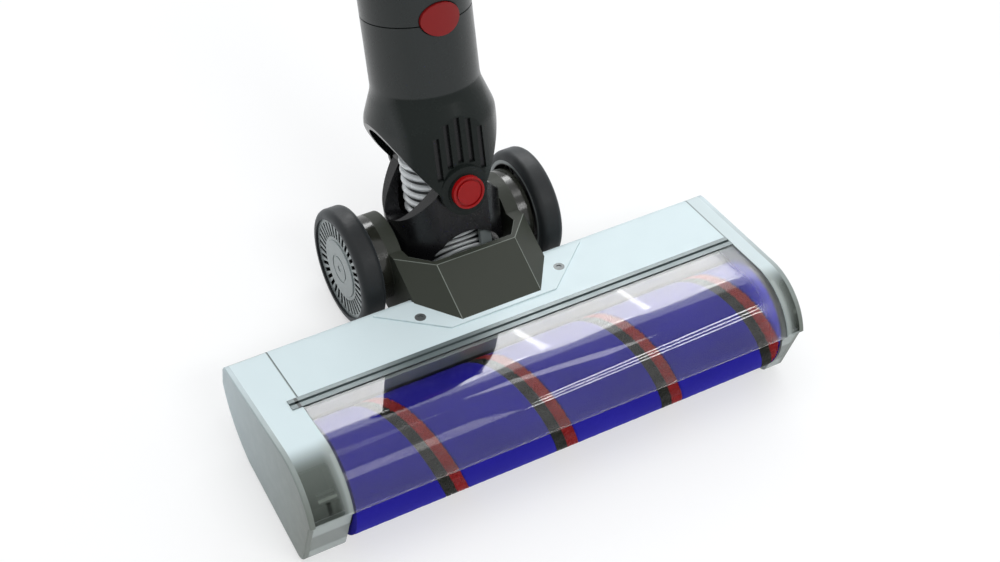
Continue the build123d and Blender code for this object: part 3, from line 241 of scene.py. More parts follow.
class Look(Tree):
    """A material with one Principled shader and masks by place."""

    def __init__(self, name, colour, rough, metal=0.0):
        self.mat = bpy.data.materials.new(name)
        self.mat.use_nodes = True
        super().__init__(self.mat.node_tree)
        self.bsdf = self.nt.nodes["Principled BSDF"]
        self.place = self.node("TexCoord").outputs["Object"]
        self.put("Base Color", colour)
        self.put("Roughness", rough)
        self.put("Metallic", metal)

    def put(self, name, value):
        """Set an input of the shader to a constant or a socket."""
        self.set(self.bsdf.inputs[name], value)
        return self

    def noise(self, scale, detail=3.0, stretch=(1, 1, 1)):
        grid = self.node("Mapping", self.place)
        self.set(grid.inputs["Scale"], stretch)
        tex = self.node("TexNoise", grid.outputs["Vector"])
        self.set(tex.inputs["Scale"], scale)
        self.set(tex.inputs["Detail"], detail)
        return tex.outputs["Fac"]

    def axis(self, letter):
        return self.node("SeparateXYZ", self.place).outputs[letter]

    def along(self, origin, direction):
        """How far a point lies from origin along a direction."""
        shift = self.node("VectorMath", self.place, origin, operation="SUBTRACT").outputs[0]
        return self.node("VectorMath", shift, direction, operation="DOT_PRODUCT").outputs["Value"]

    def both(self, a, b):
        return self.math("MULTIPLY", a, b)

    def squares(self, a, b):
        """Sum of the squares of two values."""
        return self.math("ADD", self.both(a, a), self.both(b, b))

    def band(self, value, lo, hi, soft):
        """Share that is 1 from lo to hi and fades out over soft on both sides."""
        return self.both(self.ramp(value, lo - soft, lo), self.ramp(value, hi, hi + soft, 1.0, 0.0))

    def mix(self, share, a, b):
        """Colour that goes from a to b with the share."""
        node = self.node("Mix", share, data_type="RGBA")
        first, second = [socket for socket in node.inputs if socket.type == "RGBA"]
        self.set(first, a)
        self.set(second, b)
        return next(socket for socket in node.outputs if socket.type == "RGBA")

    def bump(self, height, strength, distance):
        node = self.node("Bump")
        self.set(node.inputs["Strength"], strength)
        self.set(node.inputs["Distance"], distance)
        self.set(node.inputs["Height"], height)
        return self.put("Normal", node.outputs["Normal"])


# Materials
def linear(c):
    """Linear light of one channel of a screen colour, both from 0 to 1."""
    return c / 12.92 if c < 0.0405 else ((c + 0.055) / 1.055) ** 2.4


def srgb(r, g, b):
    """Linear colour from the 0 to 255 values of a screen colour."""
    return (linear(r / 255), linear(g / 255), linear(b / 255), 1.0)


def shade(colour, k):
    return tuple(min(1.0, c * k) for c in colour[:3]) + (1.0,)


def moulded(name, colour, rough, metal=0.0, grain=900.0, relief=0.12, drift=0.12, specular=0.5):
    """Moulded plastic: fine texture, slow drift of colour, and gloss that varies a little."""
    look = Look(name, colour, rough, metal).put("Specular IOR Level", specular)
    clouds = look.noise(CLOUD_SCALE, 2.0)
    look.put("Base Color", look.mix(clouds, shade(colour, 1 - drift), shade(colour, 1 + drift)))
    dull, shiny = rough * (1 + GLOSS_DRIFT), rough * (1 - GLOSS_DRIFT)
    look.put("Roughness", look.ramp(look.noise(GLOSS_SCALE), 0.3, 0.7, shiny, dull))
    return look.bump(look.noise(grain, 2.0), relief, GRAIN_DEPTH)


SILVER = srgb(206, 220, 223)
# Darker copy of the silver for the right end box, painted shade where more light falls on it
RIGHT_SILVER_SHADED = srgb(200, 212, 214)
HUB_GREY = srgb(148, 156, 156)
PLATE_GREY = srgb(146, 153, 150)
STRIP_GREY = srgb(100, 111, 112)
SHROUD_GREY = srgb(54, 57, 50)
CHARCOAL = srgb(24, 30, 29)
HOOD_TINT = (0.7, 0.69, 0.68, 1.0)
HOOD_MILK = (0.95, 0.96, 0.96, 1.0)
HOOD_SHADOW = (0.66, 0.66, 0.66, 1.0)

grey = moulded("grey_shell", PLATE_GREY, 0.42, 0.25, grain=1300.0, relief=0.06, drift=0.04).mat
black = moulded("black_shell", srgb(15, 15, 17), 0.27, grain=1200.0, relief=0.08, specular=0.32).mat
red = moulded("red_gloss", srgb(156, 12, 14), 0.3, relief=0.05, specular=0.25).mat
button_red = moulded("button_red", srgb(132, 22, 22), 0.34, relief=0.05, specular=0.3).mat
hub_grey = moulded("hub_grey", HUB_GREY, 0.36, 0.2, grain=1300.0, relief=0.06, drift=0.05).mat
white = moulded("white_acetal", srgb(222, 222, 216), 0.4, grain=1200.0, relief=0.06, drift=0.03).mat
rubber = moulded("seal_rubber", srgb(26, 26, 26), 0.7, grain=800.0, relief=0.2).mat
motor = moulded("motor_can", srgb(70, 70, 74), 0.35, 0.7, relief=0.05).mat
screw = moulded("screw_zinc", srgb(104, 108, 108), 0.45, 0.6, relief=0.08).mat
hose_wall = moulded("hose_wall", srgb(36, 38, 39), 0.4, relief=0.08).mat
hose_rib = moulded("hose_rib", srgb(240, 243, 244), 0.25, 0.15, relief=0.05, drift=0.04).mat
# Pale strips on the shroud's edges, a painted highlight
shroud_edge_highlight = moulded("shroud_edge", srgb(116, 122, 114), 0.38, grain=1300.0, relief=0.05).mat


def slotted_hub():
    """Hub plastic painted near black inside the slots as painted shade, away from the rim and below the
    face.
    """
    look = moulded("hub_slotted", HUB_GREY, 0.36, 0.2, grain=1300.0, relief=0.06, drift=0.05)
    from_axle = look.squares(look.along(AXLE, BACKWARD), look.along(AXLE, UPRIGHT))
    rim = look.ramp(from_axle, HUB_SLOT_R[0] ** 2, HUB_SLOT_R[1] ** 2)
    face_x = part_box("right_hub")[1][0]
    off_middle = look.math("ABSOLUTE", look.axis("X"))
    face = look.ramp(off_middle, face_x - HUB_FACE_DEPTH[0], face_x - HUB_FACE_DEPTH[1])
    kept = look.math("MAXIMUM", rim, face)
    # Painted shade: near black inside the slots, grey kept on the rim and the face
    return look.put("Base Color", look.mix(kept, srgb(12, 12, 13), HUB_GREY)).mat


def neck_plastic(name, faceted):
    """Glossy charcoal with painted shade in the gap round the red button, and a duller front below the
    facet's edge.
    """
    look = moulded(name, CHARCOAL, 0.26, grain=1400.0, relief=0.05, specular=0.44)
    foot, button = neck_at(0, 0), neck_at(0, BUTTON_S)
    across = look.along(button, SIDE / BUTTON_HALF_W)
    up = look.along(button, UP / BUTTON_HALF_H)
    ahead = look.ramp(look.along(foot, AHEAD), *FRONT_M)
    gap_shade = look.both(look.ramp(look.squares(across, up), *BUTTON_GAP_SHADE, 1.0, 0.0), ahead)
    colour = CHARCOAL
    if faceted:
        below = look.ramp(look.along(foot, UP), FACET_S - FACET_EDGE, FACET_S + FACET_EDGE, 1.0, 0.0)
        facet = look.both(below, look.band(look.along(foot, SIDE), *FACET_X, FACET_FADE))
        facet = look.both(facet, ahead)
        colour = look.mix(facet, CHARCOAL, srgb(28, 33, 31))
        look.put("Specular IOR Level", look.ramp(facet, 0.0, 1.0, 0.44, 0.14))
    # Painted shade: near black in the gap round the button, on the front only
    return look.put("Base Color", look.mix(gap_shade, colour, srgb(8, 8, 9))).mat


def brushed_steel():
    look = Look("steel", srgb(168, 168, 170), 0.3, 1.0)
    look.put("Roughness", look.ramp(look.noise(400.0, 2.0, (1, 14, 14)), 0.3, 0.7, 0.22, 0.42))
    return look.bump(look.noise(700.0, 2.0, (1, 10, 10)), 0.08, 0.0001).mat


def tyre_rubber():
    look = moulded("tyre", srgb(26, 28, 29), 0.48, grain=1600.0, relief=0.25, specular=0.3)
    look.put("Sheen Weight", 0.15)
    return look.put("Sheen Tint", srgb(190, 205, 215)).mat


def shroud_plastic():
    """Matt grey that turns dark and glossy on the two axle drums."""
    look = moulded("shroud_grey", SHROUD_GREY, 0.5, grain=1300.0, relief=0.08)
    off_middle = look.math("ABSOLUTE", look.axis("X"))
    look.put("Base Color", look.mix(look.ramp(off_middle, *DRUM_X), SHROUD_GREY, srgb(38, 39, 33)))
    look.put("Roughness", look.ramp(off_middle, *DRUM_X, 0.5, 0.16))
    return look.put("Specular IOR Level", look.ramp(off_middle, *DRUM_X, 0.2, 0.5)).mat


def blue_plush():
    look = Look("blue_plush", srgb(36, 30, 150), 0.85)
    nap = look.noise(90.0, 3.0, (0.4, 1, 1))
    look.put("Base Color", look.mix(nap, srgb(28, 23, 138), srgb(38, 31, 164)))
    look.put("Sheen Weight", 0.25)
    look.put("Sheen Roughness", 0.4)
    look.put("Sheen Tint", srgb(90, 86, 205))
    look.put("Specular IOR Level", 0.15)
    return look.bump(look.noise(1500.0, 4.0), 0.5, 0.0004).mat


def bristle(name, dark, pale):
    look = Look(name, dark, 0.6)
    look.put("Base Color", look.mix(look.noise(700.0, 2.0), dark, pale))
    look.put("Sheen Weight", 0.2)
    return look.bump(look.noise(2000.0, 2.0), 0.4, 0.0003).mat


def hood_plastic():
    """Smoky clear hood with a milky right end and a frosted lip, which casts a thin shadow."""
    low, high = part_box("hood")
    look = Look("clear_hood", HOOD_TINT, 0.02)
    look.put("Transmission Weight", 1.0)
    look.put("IOR", 1.4)
    milky = look.ramp(look.axis("X"), high[0] - MILKY_X[1], high[0] - MILKY_X[0], smooth=True)
    lip = look.ramp(look.axis("Z"), low[2] + LIP_Z[0], low[2] + LIP_Z[1], 0.16, 0.02)
    look.put("Roughness", look.math("MAXIMUM", look.ramp(milky, 0.0, 1.0, 0.02, 0.5), lip))
    look.put("Base Color", look.mix(milky, HOOD_TINT, HOOD_MILK))
    look.bump(look.noise(30.0, 1.0), 0.001, 0.0004)
    shadow = look.node("LightPath").outputs["Is Shadow Ray"]
    through = look.node("BsdfTransparent", HOOD_SHADOW)
    look.surface("Material Output", shadow, look.bsdf.outputs[0], through.outputs[0])
    return look.mat


def silver(name, colour):
    return moulded(name, colour, 0.46, 0.03, grain=1500.0, relief=0.05, drift=0.03, specular=0.14)


def end_box(name, shell, front_alpha, seam_x, way):
    """Silver shell that turns smoky down its front, the smoke darkened towards the bottom as painted shade,
    with a shelf and a post showing, a pale rim and a pale foot line as painted highlights, and a darker seam
    line as painted shade.
    """
    look = silver(name, shell)
    inward = look.along((seam_x, 0, 0), SIDE * -way)
    back = look.along(ROLL, BACKWARD)
    above = look.along((0, 0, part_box("left_corner_block")[1][2]), UPRIGHT)
    # Smoky tint, darkened towards the bottom as painted shade
    smoke_and_shade = look.mix(look.ramp(above, *SMOKE_SHADE_Z), srgb(50, 55, 48), srgb(124, 132, 126))
    shelf = look.both(look.band(above, *SHELF_Z, RIB_FADE_Z), look.band(inward, *SHELF_X, RIB_FADE_X))
    smoke_and_shade = look.mix(shelf, smoke_and_shade, srgb(132, 140, 132))
    post = look.both(look.band(above, *POST_Z, RIB_FADE_Z), look.band(inward, *POST_X, RIB_FADE_X))
    smoke_and_shade = look.mix(post, smoke_and_shade, srgb(34, 38, 33))
    colour = look.mix(look.ramp(back, *SMOKE_Y, smooth=True), smoke_and_shade, shell)
    # Painted highlight on the rim near the seam, which also makes the rim opaque
    rim = look.ramp(inward, *RIM_HIGHLIGHT_X, 0.8, 0.0, smooth=True)
    rim = look.both(rim, look.ramp(back, *RIM_HIGHLIGHT_Y, 1.0, 0.0))
    colour = look.mix(rim, colour, srgb(186, 195, 192))
    # Painted highlight along the foot, then painted shade along the seam
    colour = look.mix(look.ramp(above, *FOOT_HIGHLIGHT_Z, 1.0, 0.0), colour, srgb(196, 204, 202))
    colour = look.mix(look.ramp(inward, *SEAM_SHADE_X, 1.0, 0.0), colour, srgb(150, 160, 160))
    look.put("Base Color", colour)
    solid = look.ramp(back, *SMOKE_Y, front_alpha, 1.0, smooth=True)
    return look.put("Alpha", look.math("MAXIMUM", solid, rim)).mat


def corner_block():
    """Cloudy clear block, painted darker in the recess between its ledges as painted shade."""
    look = moulded("smoke_block", srgb(160, 168, 165), 0.25, relief=0.05, drift=0.05)
    recess_shade = look.band(look.axis("Z"), *BLOCK_RECESS_SHADE_Z, BLOCK_FADE)
    look.put("Base Color", look.mix(recess_shade, srgb(178, 188, 184), srgb(128, 137, 132)))
    return look.put("Alpha", 0.8).mat


def cover_plastic():
    """Silver painted darker at the seam at both ends, as painted shade."""
    look = silver("silver_cover", SILVER)
    low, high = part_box("top_cover")
    x = look.axis("X")
    left_seam_shade = look.ramp(x, low[0] + COVER_LEFT_SEAM_SHADE[0], low[0] + COVER_LEFT_SEAM_SHADE[1], 1.0, 0.0)
    right_seam_shade = look.ramp(x, high[0] - COVER_RIGHT_SEAM_SHADE[1], high[0] - COVER_RIGHT_SEAM_SHADE[0], 0.0, 0.7)
    seam_shade = look.math("MAXIMUM", left_seam_shade, right_seam_shade)
    return look.put("Base Color", look.mix(seam_shade, SILVER, srgb(84, 94, 94))).mat


def strip_plastic():
    """Grey with a dark tick near the strip's left end."""
    look = moulded("strip_grey", STRIP_GREY, 0.32, 0.2, grain=1200.0, relief=0.06)
    left_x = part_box("seam_strip")[0][0]
    tick = look.band(look.axis("X"), left_x + TICK_X[0], left_x + TICK_X[1], TICK_FADE)
    return look.put("Base Color", look.mix(tick, STRIP_GREY, srgb(34, 40, 40))).mat


def plate_plastic():
    """Grey painted darker towards the front and paler towards the back, as painted shade and light."""
    look = moulded("end_plate_grey", PLATE_GREY, 0.45, 0.1, grain=1300.0, relief=0.06, drift=0.04)
    low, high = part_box("left_end_plate")
    back = look.ramp(look.axis("Y"), low[1], high[1])
    # Painted shade and light: dark at the front, pale at the back
    return look.put("Base Color", look.mix(back, srgb(112, 118, 111), srgb(184, 198, 202))).mat


def chassis_plastic():
    """Dark grey with the crest behind the roller painted paler, as painted light."""
    look = moulded("chassis_grey", srgb(62, 65, 64), 0.5, grain=1200.0, relief=0.1)
    crest_light = look.ramp(look.axis("Z"), *CREST_LIGHT_Z)
    return look.put("Base Color", look.mix(crest_light, srgb(58, 61, 60), srgb(150, 160, 162))).mat


hub_slotted = slotted_hub()
steel = brushed_steel()
tyre = tyre_rubber()
shroud = shroud_plastic()
plush = blue_plush()
dark_bristle = bristle("dark_bristle", srgb(20, 22, 17), srgb(44, 48, 36))
red_bristle = bristle("red_bristle", srgb(150, 14, 20), srgb(196, 34, 38))
smoke_block = corner_block()
end_grey = plate_plastic()

FINISH = {
    "left_end_plate": end_grey,
    "right_end_plate": end_grey,
    "end_lock": grey,
    "left_end_box": end_box("smoke_left", SILVER, 0.6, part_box("left_end_box")[1][0], 1),
    "right_end_box": end_box("smoke_right", RIGHT_SILVER_SHADED, 0.5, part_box("right_end_box")[0][0], -1),
    "left_corner_block": smoke_block,
    "right_corner_block": smoke_block,
    "hood": hood_plastic(),
    "top_cover": cover_plastic(),
    "seam_strip": strip_plastic(),
    "chassis": chassis_plastic(),
    "seal_strip": rubber,
    "cover_screws": screw,
    "rear_shroud": shroud,
    "plush_sleeve": plush,
    "dark_band": dark_bristle,
    "red_band": red_bristle,
    "roller_bearing": white,
    "drive_dog": white,
    "drive_motor": motor,
    "left_tyre": tyre,
    "right_tyre": tyre,
    "yoke_tab": hub_grey,
    "left_hub": hub_slotted,
    "right_hub": hub_slotted,
    "left_hub_cap": hub_grey,
    "right_hub_cap": hub_grey,
    "left_wheel_axle": steel,
    "right_wheel_axle": steel,
    "left_pitch_pin": steel,
    "right_pitch_pin": steel,
    "left_sole_pin": steel,
    "right_sole_pin": steel,
    "neck_shell": neck_plastic("neck_shell_charcoal", True),
    "neck_collar": neck_plastic("neck_collar_charcoal", False),
    "front_roll_pin": red,
    "rear_roll_pin": red,
    "release_button": button_red,
    "hose_upper": hose_wall,
    "hose_lower": hose_wall,
    "upper_cuff": hose_wall,
    "lower_cuff": hose_wall,
}


def dress(obj, look, angle=32):
    """Give an object its material and smooth all but its real corners."""
    obj.data.materials.clear()
    obj.data.materials.append(look)
    obj.data.polygons.foreach_set("use_smooth", [True] * len(obj.data.polygons))
    obj.data.set_sharp_from_angle(angle=radians(angle))


for name, node in NODES.items():
    dress(node, FINISH.get(name, black))


def piece(name, verts, faces, look, angle=40):
    """New mesh object in the row frame."""
    mesh = bpy.data.meshes.new(name)
    mesh.from_pydata(verts, [], faces)
    mesh.update()
    obj = bpy.data.objects.new(name, mesh)
    bpy.context.scene.collection.objects.link(obj)
    dress(obj, look, angle)
    return obj


def flat_ring(name, x, axis, radii, sides, look):
    """Flat ring at x, across an axis that runs along x."""
    verts = []
    for r in radii:
        for k in range(sides):
            turn = 2 * pi * k / sides
            verts.append((x, axis.y - r * sin(turn), axis.z + r * cos(turn)))
    quads = [(k, (k + 1) % sides, sides + (k + 1) % sides, sides + k) for k in range(sides)]
    return piece(name, verts, quads, look)


# Roller: plush wound as one broad ribbon, with the two bristle bands in the gap
tube_low, tube_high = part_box("plush_sleeve")
ROLL_X0, ROLL_X1 = tube_low[0], tube_high[0]
FIRST_TURN = 2 * pi * (ROLL_X0 - BAND_TOP_X - BAND_PITCH) / BAND_PITCH
LAST_TURN = 2 * pi * (ROLL_X1 - BAND_TOP_X + BAND_PITCH) / BAND_PITCH


def roller_x(turn, w):
    """Place along the roller, w from the bands' seam, at a turn past the top in radians."""
    return BAND_TOP_X + BAND_PITCH * turn / (2 * pi) + w


def on_roller(turn, w, r):
    """Point of the roller: turn in radians past the top towards the front, w along from the bands' seam."""
    x = min(max(roller_x(turn, w), ROLL_X0), ROLL_X1)
    return (x, ROLL.y - r * sin(turn), ROLL.z + r * cos(turn))


def ribbon(name, section, look, fuzz=0.0):
    """Helical ribbon on the roller from a section of (w, r) points."""
    rows = int((LAST_TURN - FIRST_TURN) / (2 * pi) * RIBBON_STEPS)
    verts = []
    for i in range(rows + 1):
        turn = FIRST_TURN + (LAST_TURN - FIRST_TURN) * i / rows
        for w, r in section:
            verts.append(on_roller(turn, w, r + random.uniform(-fuzz, fuzz)))
    faces = []
    n = len(section)
    for i in range(rows):
        for k in range(n - 1):
            quad = (i * n + k, i * n + k + 1, (i + 1) * n + k + 1, (i + 1) * n + k)
            xs = [verts[q][0] for q in quad]
            if max(xs) - min(xs) > SAME_PLACE:
                faces.append(quad)
    return piece(name, verts, faces, look, 60)


plush_w = BAND_PITCH - 2 * BAND_W
flat_w = plush_w - 2 * PLUSH_ROUND
plush_section = [(BAND_W, PLUSH_FOOT_R), (BAND_W, PLUSH_SHOULDER_R)]
for k in range(PLUSH_COLUMNS + 1):
    plush_section.append((BAND_W + PLUSH_ROUND + flat_w * k / PLUSH_COLUMNS, PLUSH_R))
plush_section += [(BAND_W + plush_w, PLUSH_SHOULDER_R), (BAND_W + plush_w, PLUSH_FOOT_R)]
plush_pile = ribbon("plush_pile", plush_section, plush, PLUSH_FUZZ)
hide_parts("plush_sleeve")
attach(plush_pile, "roller")

end_radii = (PLUSH_CORE_R, PLUSH_R - PLUSH_END_GAP)
plush_ends = {"plush_left_end": ROLL_X0 + PLUSH_END_INSET, "plush_right_end": ROLL_X1 - PLUSH_END_INSET}
for name, end_x in plush_ends.items():
    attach(flat_ring(name, end_x, ROLL, end_radii, PLUSH_SIDES, plush), "roller")


def tuft_ring(turn, w, r, spin, size):
    """Three points round one end of a tuft."""
    angles = [2 * pi * k / 3 + spin for k in range(3)]
    return [on_roller(turn + cos(a) * size[0], w + sin(a) * size[1], r) for a in angles]


def bristle_band(name, w0, look, node):
    """Woven base strip with rows of short tufts standing on it."""
    w1 = w0 + BAND_W
    base = [(w0 + BAND_FOOT_INSET, PLUSH_FOOT_R), (w0 + BAND_FLOOR_INSET, BAND_FLOOR_R)]
    base += [(w1 - BAND_FLOOR_INSET, BAND_FLOOR_R), (w1 - BAND_FOOT_INSET, PLUSH_FOOT_R)]
    strip = ribbon(name + "_base", base, look)
    verts, faces = [], []
    step = TUFT_STEP / PLUSH_R
    turn = FIRST_TURN
    while turn < LAST_TURN:
        for row in range(TUFT_ROWS):
            w = w0 + BAND_W * (row + 0.5) / TUFT_ROWS + random.uniform(-TUFT_SHIFT, TUFT_SHIFT)
            x = roller_x(turn, w)
            if x < ROLL_X0 + TUFT_END_GAP or x > ROLL_X1 - TUFT_END_GAP:
                continue
            root = turn + random.uniform(-TUFT_JITTER, TUFT_JITTER) * step
            lean = random.uniform(-TUFT_LEAN, TUFT_LEAN)
            tip = BAND_TIP_R - random.uniform(0.0, TUFT_SHORT)
            first = len(verts)
            verts += tuft_ring(root, w, BAND_FLOOR_R - TUFT_ROOT, turn * TUFT_TWIST, TUFT_ROOT_SIZE)
            verts += tuft_ring(root + lean, w, tip, turn * TUFT_TWIST, TUFT_TIP_SIZE)
            for k in range(3):
                after = (k + 1) % 3
                faces.append((first + k, first + after, first + 3 + after, first + 3 + k))
            faces.append((first + 3, first + 4, first + 5))
        turn += step
    tufts = piece(name + "_tufts", verts, faces, look, 30)
    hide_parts(node)
    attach(strip, "roller")
    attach(tufts, "roller")


bristle_band("dark_bristles", -BAND_W, dark_bristle, "dark_band")
bristle_band("red_bristles", 0.0, red_bristle, "red_band")

# Painted shade: black rings behind the slots of the wheel hubs, standing in for the shade inside the wheels
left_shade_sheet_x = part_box("left_hub")[0][0] + HUB_SHADE_SHEET_BACK
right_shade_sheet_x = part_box("right_hub")[1][0] - HUB_SHADE_SHEET_BACK
for wheel, shade_sheet_x in (("left_wheel", left_shade_sheet_x), ("right_wheel", right_shade_sheet_x)):
    shade_sheet = flat_ring(wheel + "_web", shade_sheet_x, AXLE, HUB_SHADE_SHEET_R, HUB_SHADE_SHEET_SIDES, black)
    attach(shade_sheet, wheel)

# Painted highlight: pale strips along the sharp edges of the rear shroud, where they catch the light
bm = bmesh.new()
bm.from_mesh(NODES["rear_shroud"].data)
bmesh.ops.remove_doubles(bm, verts=bm.verts, dist=SAME_PLACE)
verts, faces = [], []
for edge in bm.edges:
    middle = (edge.verts[0].co + edge.verts[1].co) / 2
    if len(edge.link_faces) != 2 or abs(middle.x) > EDGE_HALF_X or middle.y > 0:
        continue
    if edge.calc_face_angle_signed() < EDGE_ANGLE or middle.z < EDGE_LOW_Z:
        continue
    out_way = (edge.link_faces[0].normal + edge.link_faces[1].normal).normalized()
    side_way = (edge.verts[1].co - edge.verts[0].co).normalized().cross(out_way)
    first = len(verts)
    for end in edge.verts:
        verts += [end.co + side_way * EDGE_R, end.co + out_way * EDGE_R / 2, end.co - side_way * EDGE_R]
    faces += [(first, first + 1, first + 4, first + 3), (first + 1, first + 2, first + 5, first + 4)]
bm.free()
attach(piece("shroud_edges", verts, faces, shroud_edge_highlight), "head")

# Painted shade: black sheets at the floors of the vents in the neck, standing in for the shade inside them
for i in range(VENTS):
    vent_x = (i - VENTS // 2) * VENT_STEP
    low_s = PIVOT_S + sqrt(VENT_LOW_R**2 - vent_x**2) + VENT_LIFT
    top_s = PIVOT_S + VENT_TOP - VENT_ARCH * vent_x**2
    corners = [(-1, low_s), (1, low_s), (1, top_s), (-1, top_s)]
    vent = [neck_at(VENT_SHADE_SHEET_M, s, vent_x + k * VENT_HALF_W) for k, s in corners]
    vent_shade_sheet = piece("vent_floor_%d" % (i + 1), vent, [(0, 1, 2, 3)], black)
    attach(vent_shade_sheet, "neck")


# Hose: dark corrugated wall with pale ribs, bending across both joints of the neck
def hose_frame(d):
    """Centre and forward normal of the hose, d metres down from the yoke's ring (negative is up)."""
    start = neck_at(0, RING_S)
    if d <= 0:
        return start - UP * d, AHEAD
    bend = min(d / BEND_R, BEND_TURN)
    centre = start - UP * (BEND_R * sin(bend)) + AHEAD * (BEND_R * (1 - cos(bend)))
    heading = -UP * cos(bend) + AHEAD * sin(bend)
    normal = AHEAD * cos(bend) + UP * sin(bend)
    return centre + heading * max(0.0, d - BEND_R * BEND_TURN), normal


def hose_skin(name, d0, d1, profile, look, group=0):
    """Tube along the hose from d0 to d1 through (share of the way, radius) points, open after each group."""
    verts, faces = [], []
    for share, r in profile:
        centre, normal = hose_frame(d0 + (d1 - d0) * share)
        for k in range(HOSE_SIDES):
            a = 2 * pi * k / HOSE_SIDES
            verts.append(centre + normal * (r * cos(a)) + SIDE * (r * sin(a)))
    for i in range(len(profile) - 1):
        if group and (i + 1) % group == 0:
            continue
        row, after = i * HOSE_SIDES, (i + 1) * HOSE_SIDES
        for k in range(HOSE_SIDES):
            j = (k + 1) % HOSE_SIDES
            faces.append((row + k, row + j, after + j, after + k))
    return piece(name, verts, faces, look, 50)


def hose_length(name, d0, d1):
    """Wall and ribs of one length of the hose."""
    count = max(4, round(abs(d1 - d0) / RIB_STEP))
    wall = [(i / (count * 4), HOSE_WALL_R - WALL_INSET) for i in range(count * 4 + 1)]
    ribs = []
    for i in range(count):
        for k in range(RIB_POINTS):
            way = k / (RIB_POINTS - 1)
            share = (i + (1 - RIB_SHARE) / 2 + RIB_SHARE * way) / count
            ribs.append((share, HOSE_WALL_R - RIB_INSET + RIB_H * sqrt(max(0.0, sin(pi * way)))))
    wall_skin = hose_skin(name + "_wall", d0, d1, wall, hose_wall)
    return wall_skin, hose_skin(name + "_ribs", d0, d1, ribs, hose_rib, RIB_POINTS)


upper_wall, upper_ribs = hose_length("hose_upper_skin", -(RING_L + RING_GAP), -(HOSE_TOP_S - RING_S))
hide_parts("hose_upper")
for skin in (upper_wall, upper_ribs):
    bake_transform(skin)

hose_end = BEND_R * BEND_TURN + HOSE_RUN
lower_wall, lower_ribs = hose_length("hose_lower_skin", RING_GAP, hose_end)
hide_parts("hose_lower")
for skin in (lower_wall, lower_ribs):
    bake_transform(skin)

# Floor and surroundings
FLOOR_HALF = 4
FLOOR_DROP = 0.0002
FLOOR_GLOW = 0.55
FLOOR_PALE = (0.98, 0.985, 0.99, 1.0)
SKY_SHOWN = (0.97, 0.98, 1.0, 1.0)
SKY_LIT = (0.96, 0.98, 1.0, 1.0)
SKY_WAY = (0.62, 0.38, 0.68)
SKY_FACING = (-0.7, 1.0)
SKY_LEVEL = (0.12, 0.8)

floor_look = Look("floor_pale", FLOOR_PALE, 0.9).put("Specular IOR Level", 0.0)
floor_glow = floor_look.ramp(floor_look.seen(), 0.0, 1.0, 0.0, FLOOR_GLOW)
floor_white = floor_look.node("Emission")
floor_look.surface("Material Output", floor_glow, floor_look.bsdf.outputs[0], floor_white.outputs[0])
floor_corners = [(x * FLOOR_HALF, y * FLOOR_HALF, 0) for x, y in ((-1, -1), (1, -1), (1, 1), (-1, 1))]
floor_piece = piece("floor", floor_corners, [(0, 1, 2, 3)], floor_look.mat)
floor_piece.location.z = -FLOOR_DROP

world = bpy.data.worlds.new("studio")
bpy.context.scene.world = world
world.use_nodes = True
sky = Tree(world.node_tree)
shown = sky.nt.nodes["Background"]
sky.set(shown.inputs["Color"], SKY_SHOWN)
sky.set(shown.inputs["Strength"], 1.0)
facing = sky.node("VectorMath", sky.node("TexCoord").outputs["Generated"], SKY_WAY, operation="DOT_PRODUCT")
brightness = sky.ramp(facing.outputs["Value"], *SKY_FACING, *SKY_LEVEL)
lit = sky.node("Background", SKY_LIT, brightness)
sky.surface("World Output", sky.seen(), lit.outputs[0], shown.outputs[0])


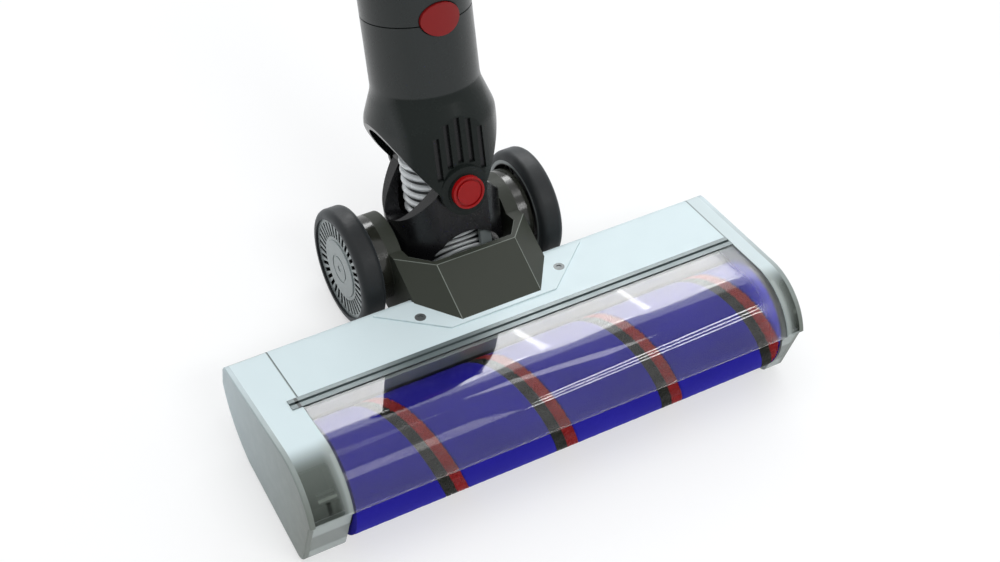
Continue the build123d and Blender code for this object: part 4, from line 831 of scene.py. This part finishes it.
# Lamps
def lamp(name, place, aim, size, watts, colour=(1, 1, 1), gleam=False, roll=0):
    """Area lamp; a gleam shows only as a reflection and lights nothing else."""
    data = bpy.data.lights.new(name, "AREA")
    data.shape = "RECTANGLE"
    data.size, data.size_y = size
    data.energy = watts
    data.color = colour
    obj = bpy.data.objects.new(name, data)
    bpy.context.scene.collection.objects.link(obj)
    obj.location = place
    turned = (Vector(aim) - Vector(place)).to_track_quat("-Z", "Y").to_matrix()
    obj.rotation_euler = (turned @ Matrix.Rotation(radians(roll), 3, "Z")).to_euler()
    obj.visible_diffuse = not gleam
    return obj


lamp("window", (0.75, 0.95, 0.95), (0, 0, 0.05), (1.2, 0.7), 5.2, (0.95, 0.98, 1.0))
lamp("overhead", (-0.2, 0.2, 1.3), (0, -0.03, 0.05), (0.9, 0.9), 5.6).visible_glossy = False
for i in range(4):
    place = (0.27 + 0.145 * i, 0.97, 0.68)
    lamp("pane_%d" % (i + 1), place, (0, -0.06, 0.05), (0.111, 0.5), 1.1, gleam=True, roll=52)
lamp("skylight", (0.5, 0.1, 1.2), (0.03, -0.06, 0.05), (0.5, 0.07), 0.5, gleam=True)
for i in range(3):
    place = (0.56, -0.55 - 0.09 * i, 1.0 - 0.055 * i)
    lamp("tube_%d" % (i + 1), place, (0.06, -0.07, 0.04), (0.34, 0.03), 0.5, gleam=True)
lamp("front_soft", (0.15, -0.75, 1.0), (0, -0.02, 0.05), (0.5, 0.3), 2.8).visible_glossy = False

# Camera, turned about the part, raised and tilted
AZ, EL, TILT = radians(-36.94), radians(51.37), radians(10.39)
CAMERA_X, CAMERA_BEFORE_AXLE, CAMERA_Z = -0.2979, 0.4504, 0.6766
LENS_MM, SENSOR_MM = 64.1, 36.0
back = Vector((sin(AZ) * cos(EL), -cos(AZ) * cos(EL), sin(EL)))
level = Vector((cos(AZ), sin(AZ), 0))
rise = back.cross(level)
right = level * cos(TILT) + rise * sin(TILT)
top = rise * cos(TILT) - level * sin(TILT)
camera = bpy.data.objects.new("camera", bpy.data.cameras.new("camera"))
bpy.context.scene.collection.objects.link(camera)
camera.data.sensor_width = SENSOR_MM
camera.data.lens = LENS_MM
camera.data.clip_start = 0.01
turned = Matrix((right, top, back)).transposed().to_4x4()
camera.matrix_world = Matrix.Translation((CAMERA_X, AXLE.y - CAMERA_BEFORE_AXLE, CAMERA_Z)) @ turned
bpy.context.scene.camera = camera
bpy.context.scene.view_settings.view_transform = "Standard"
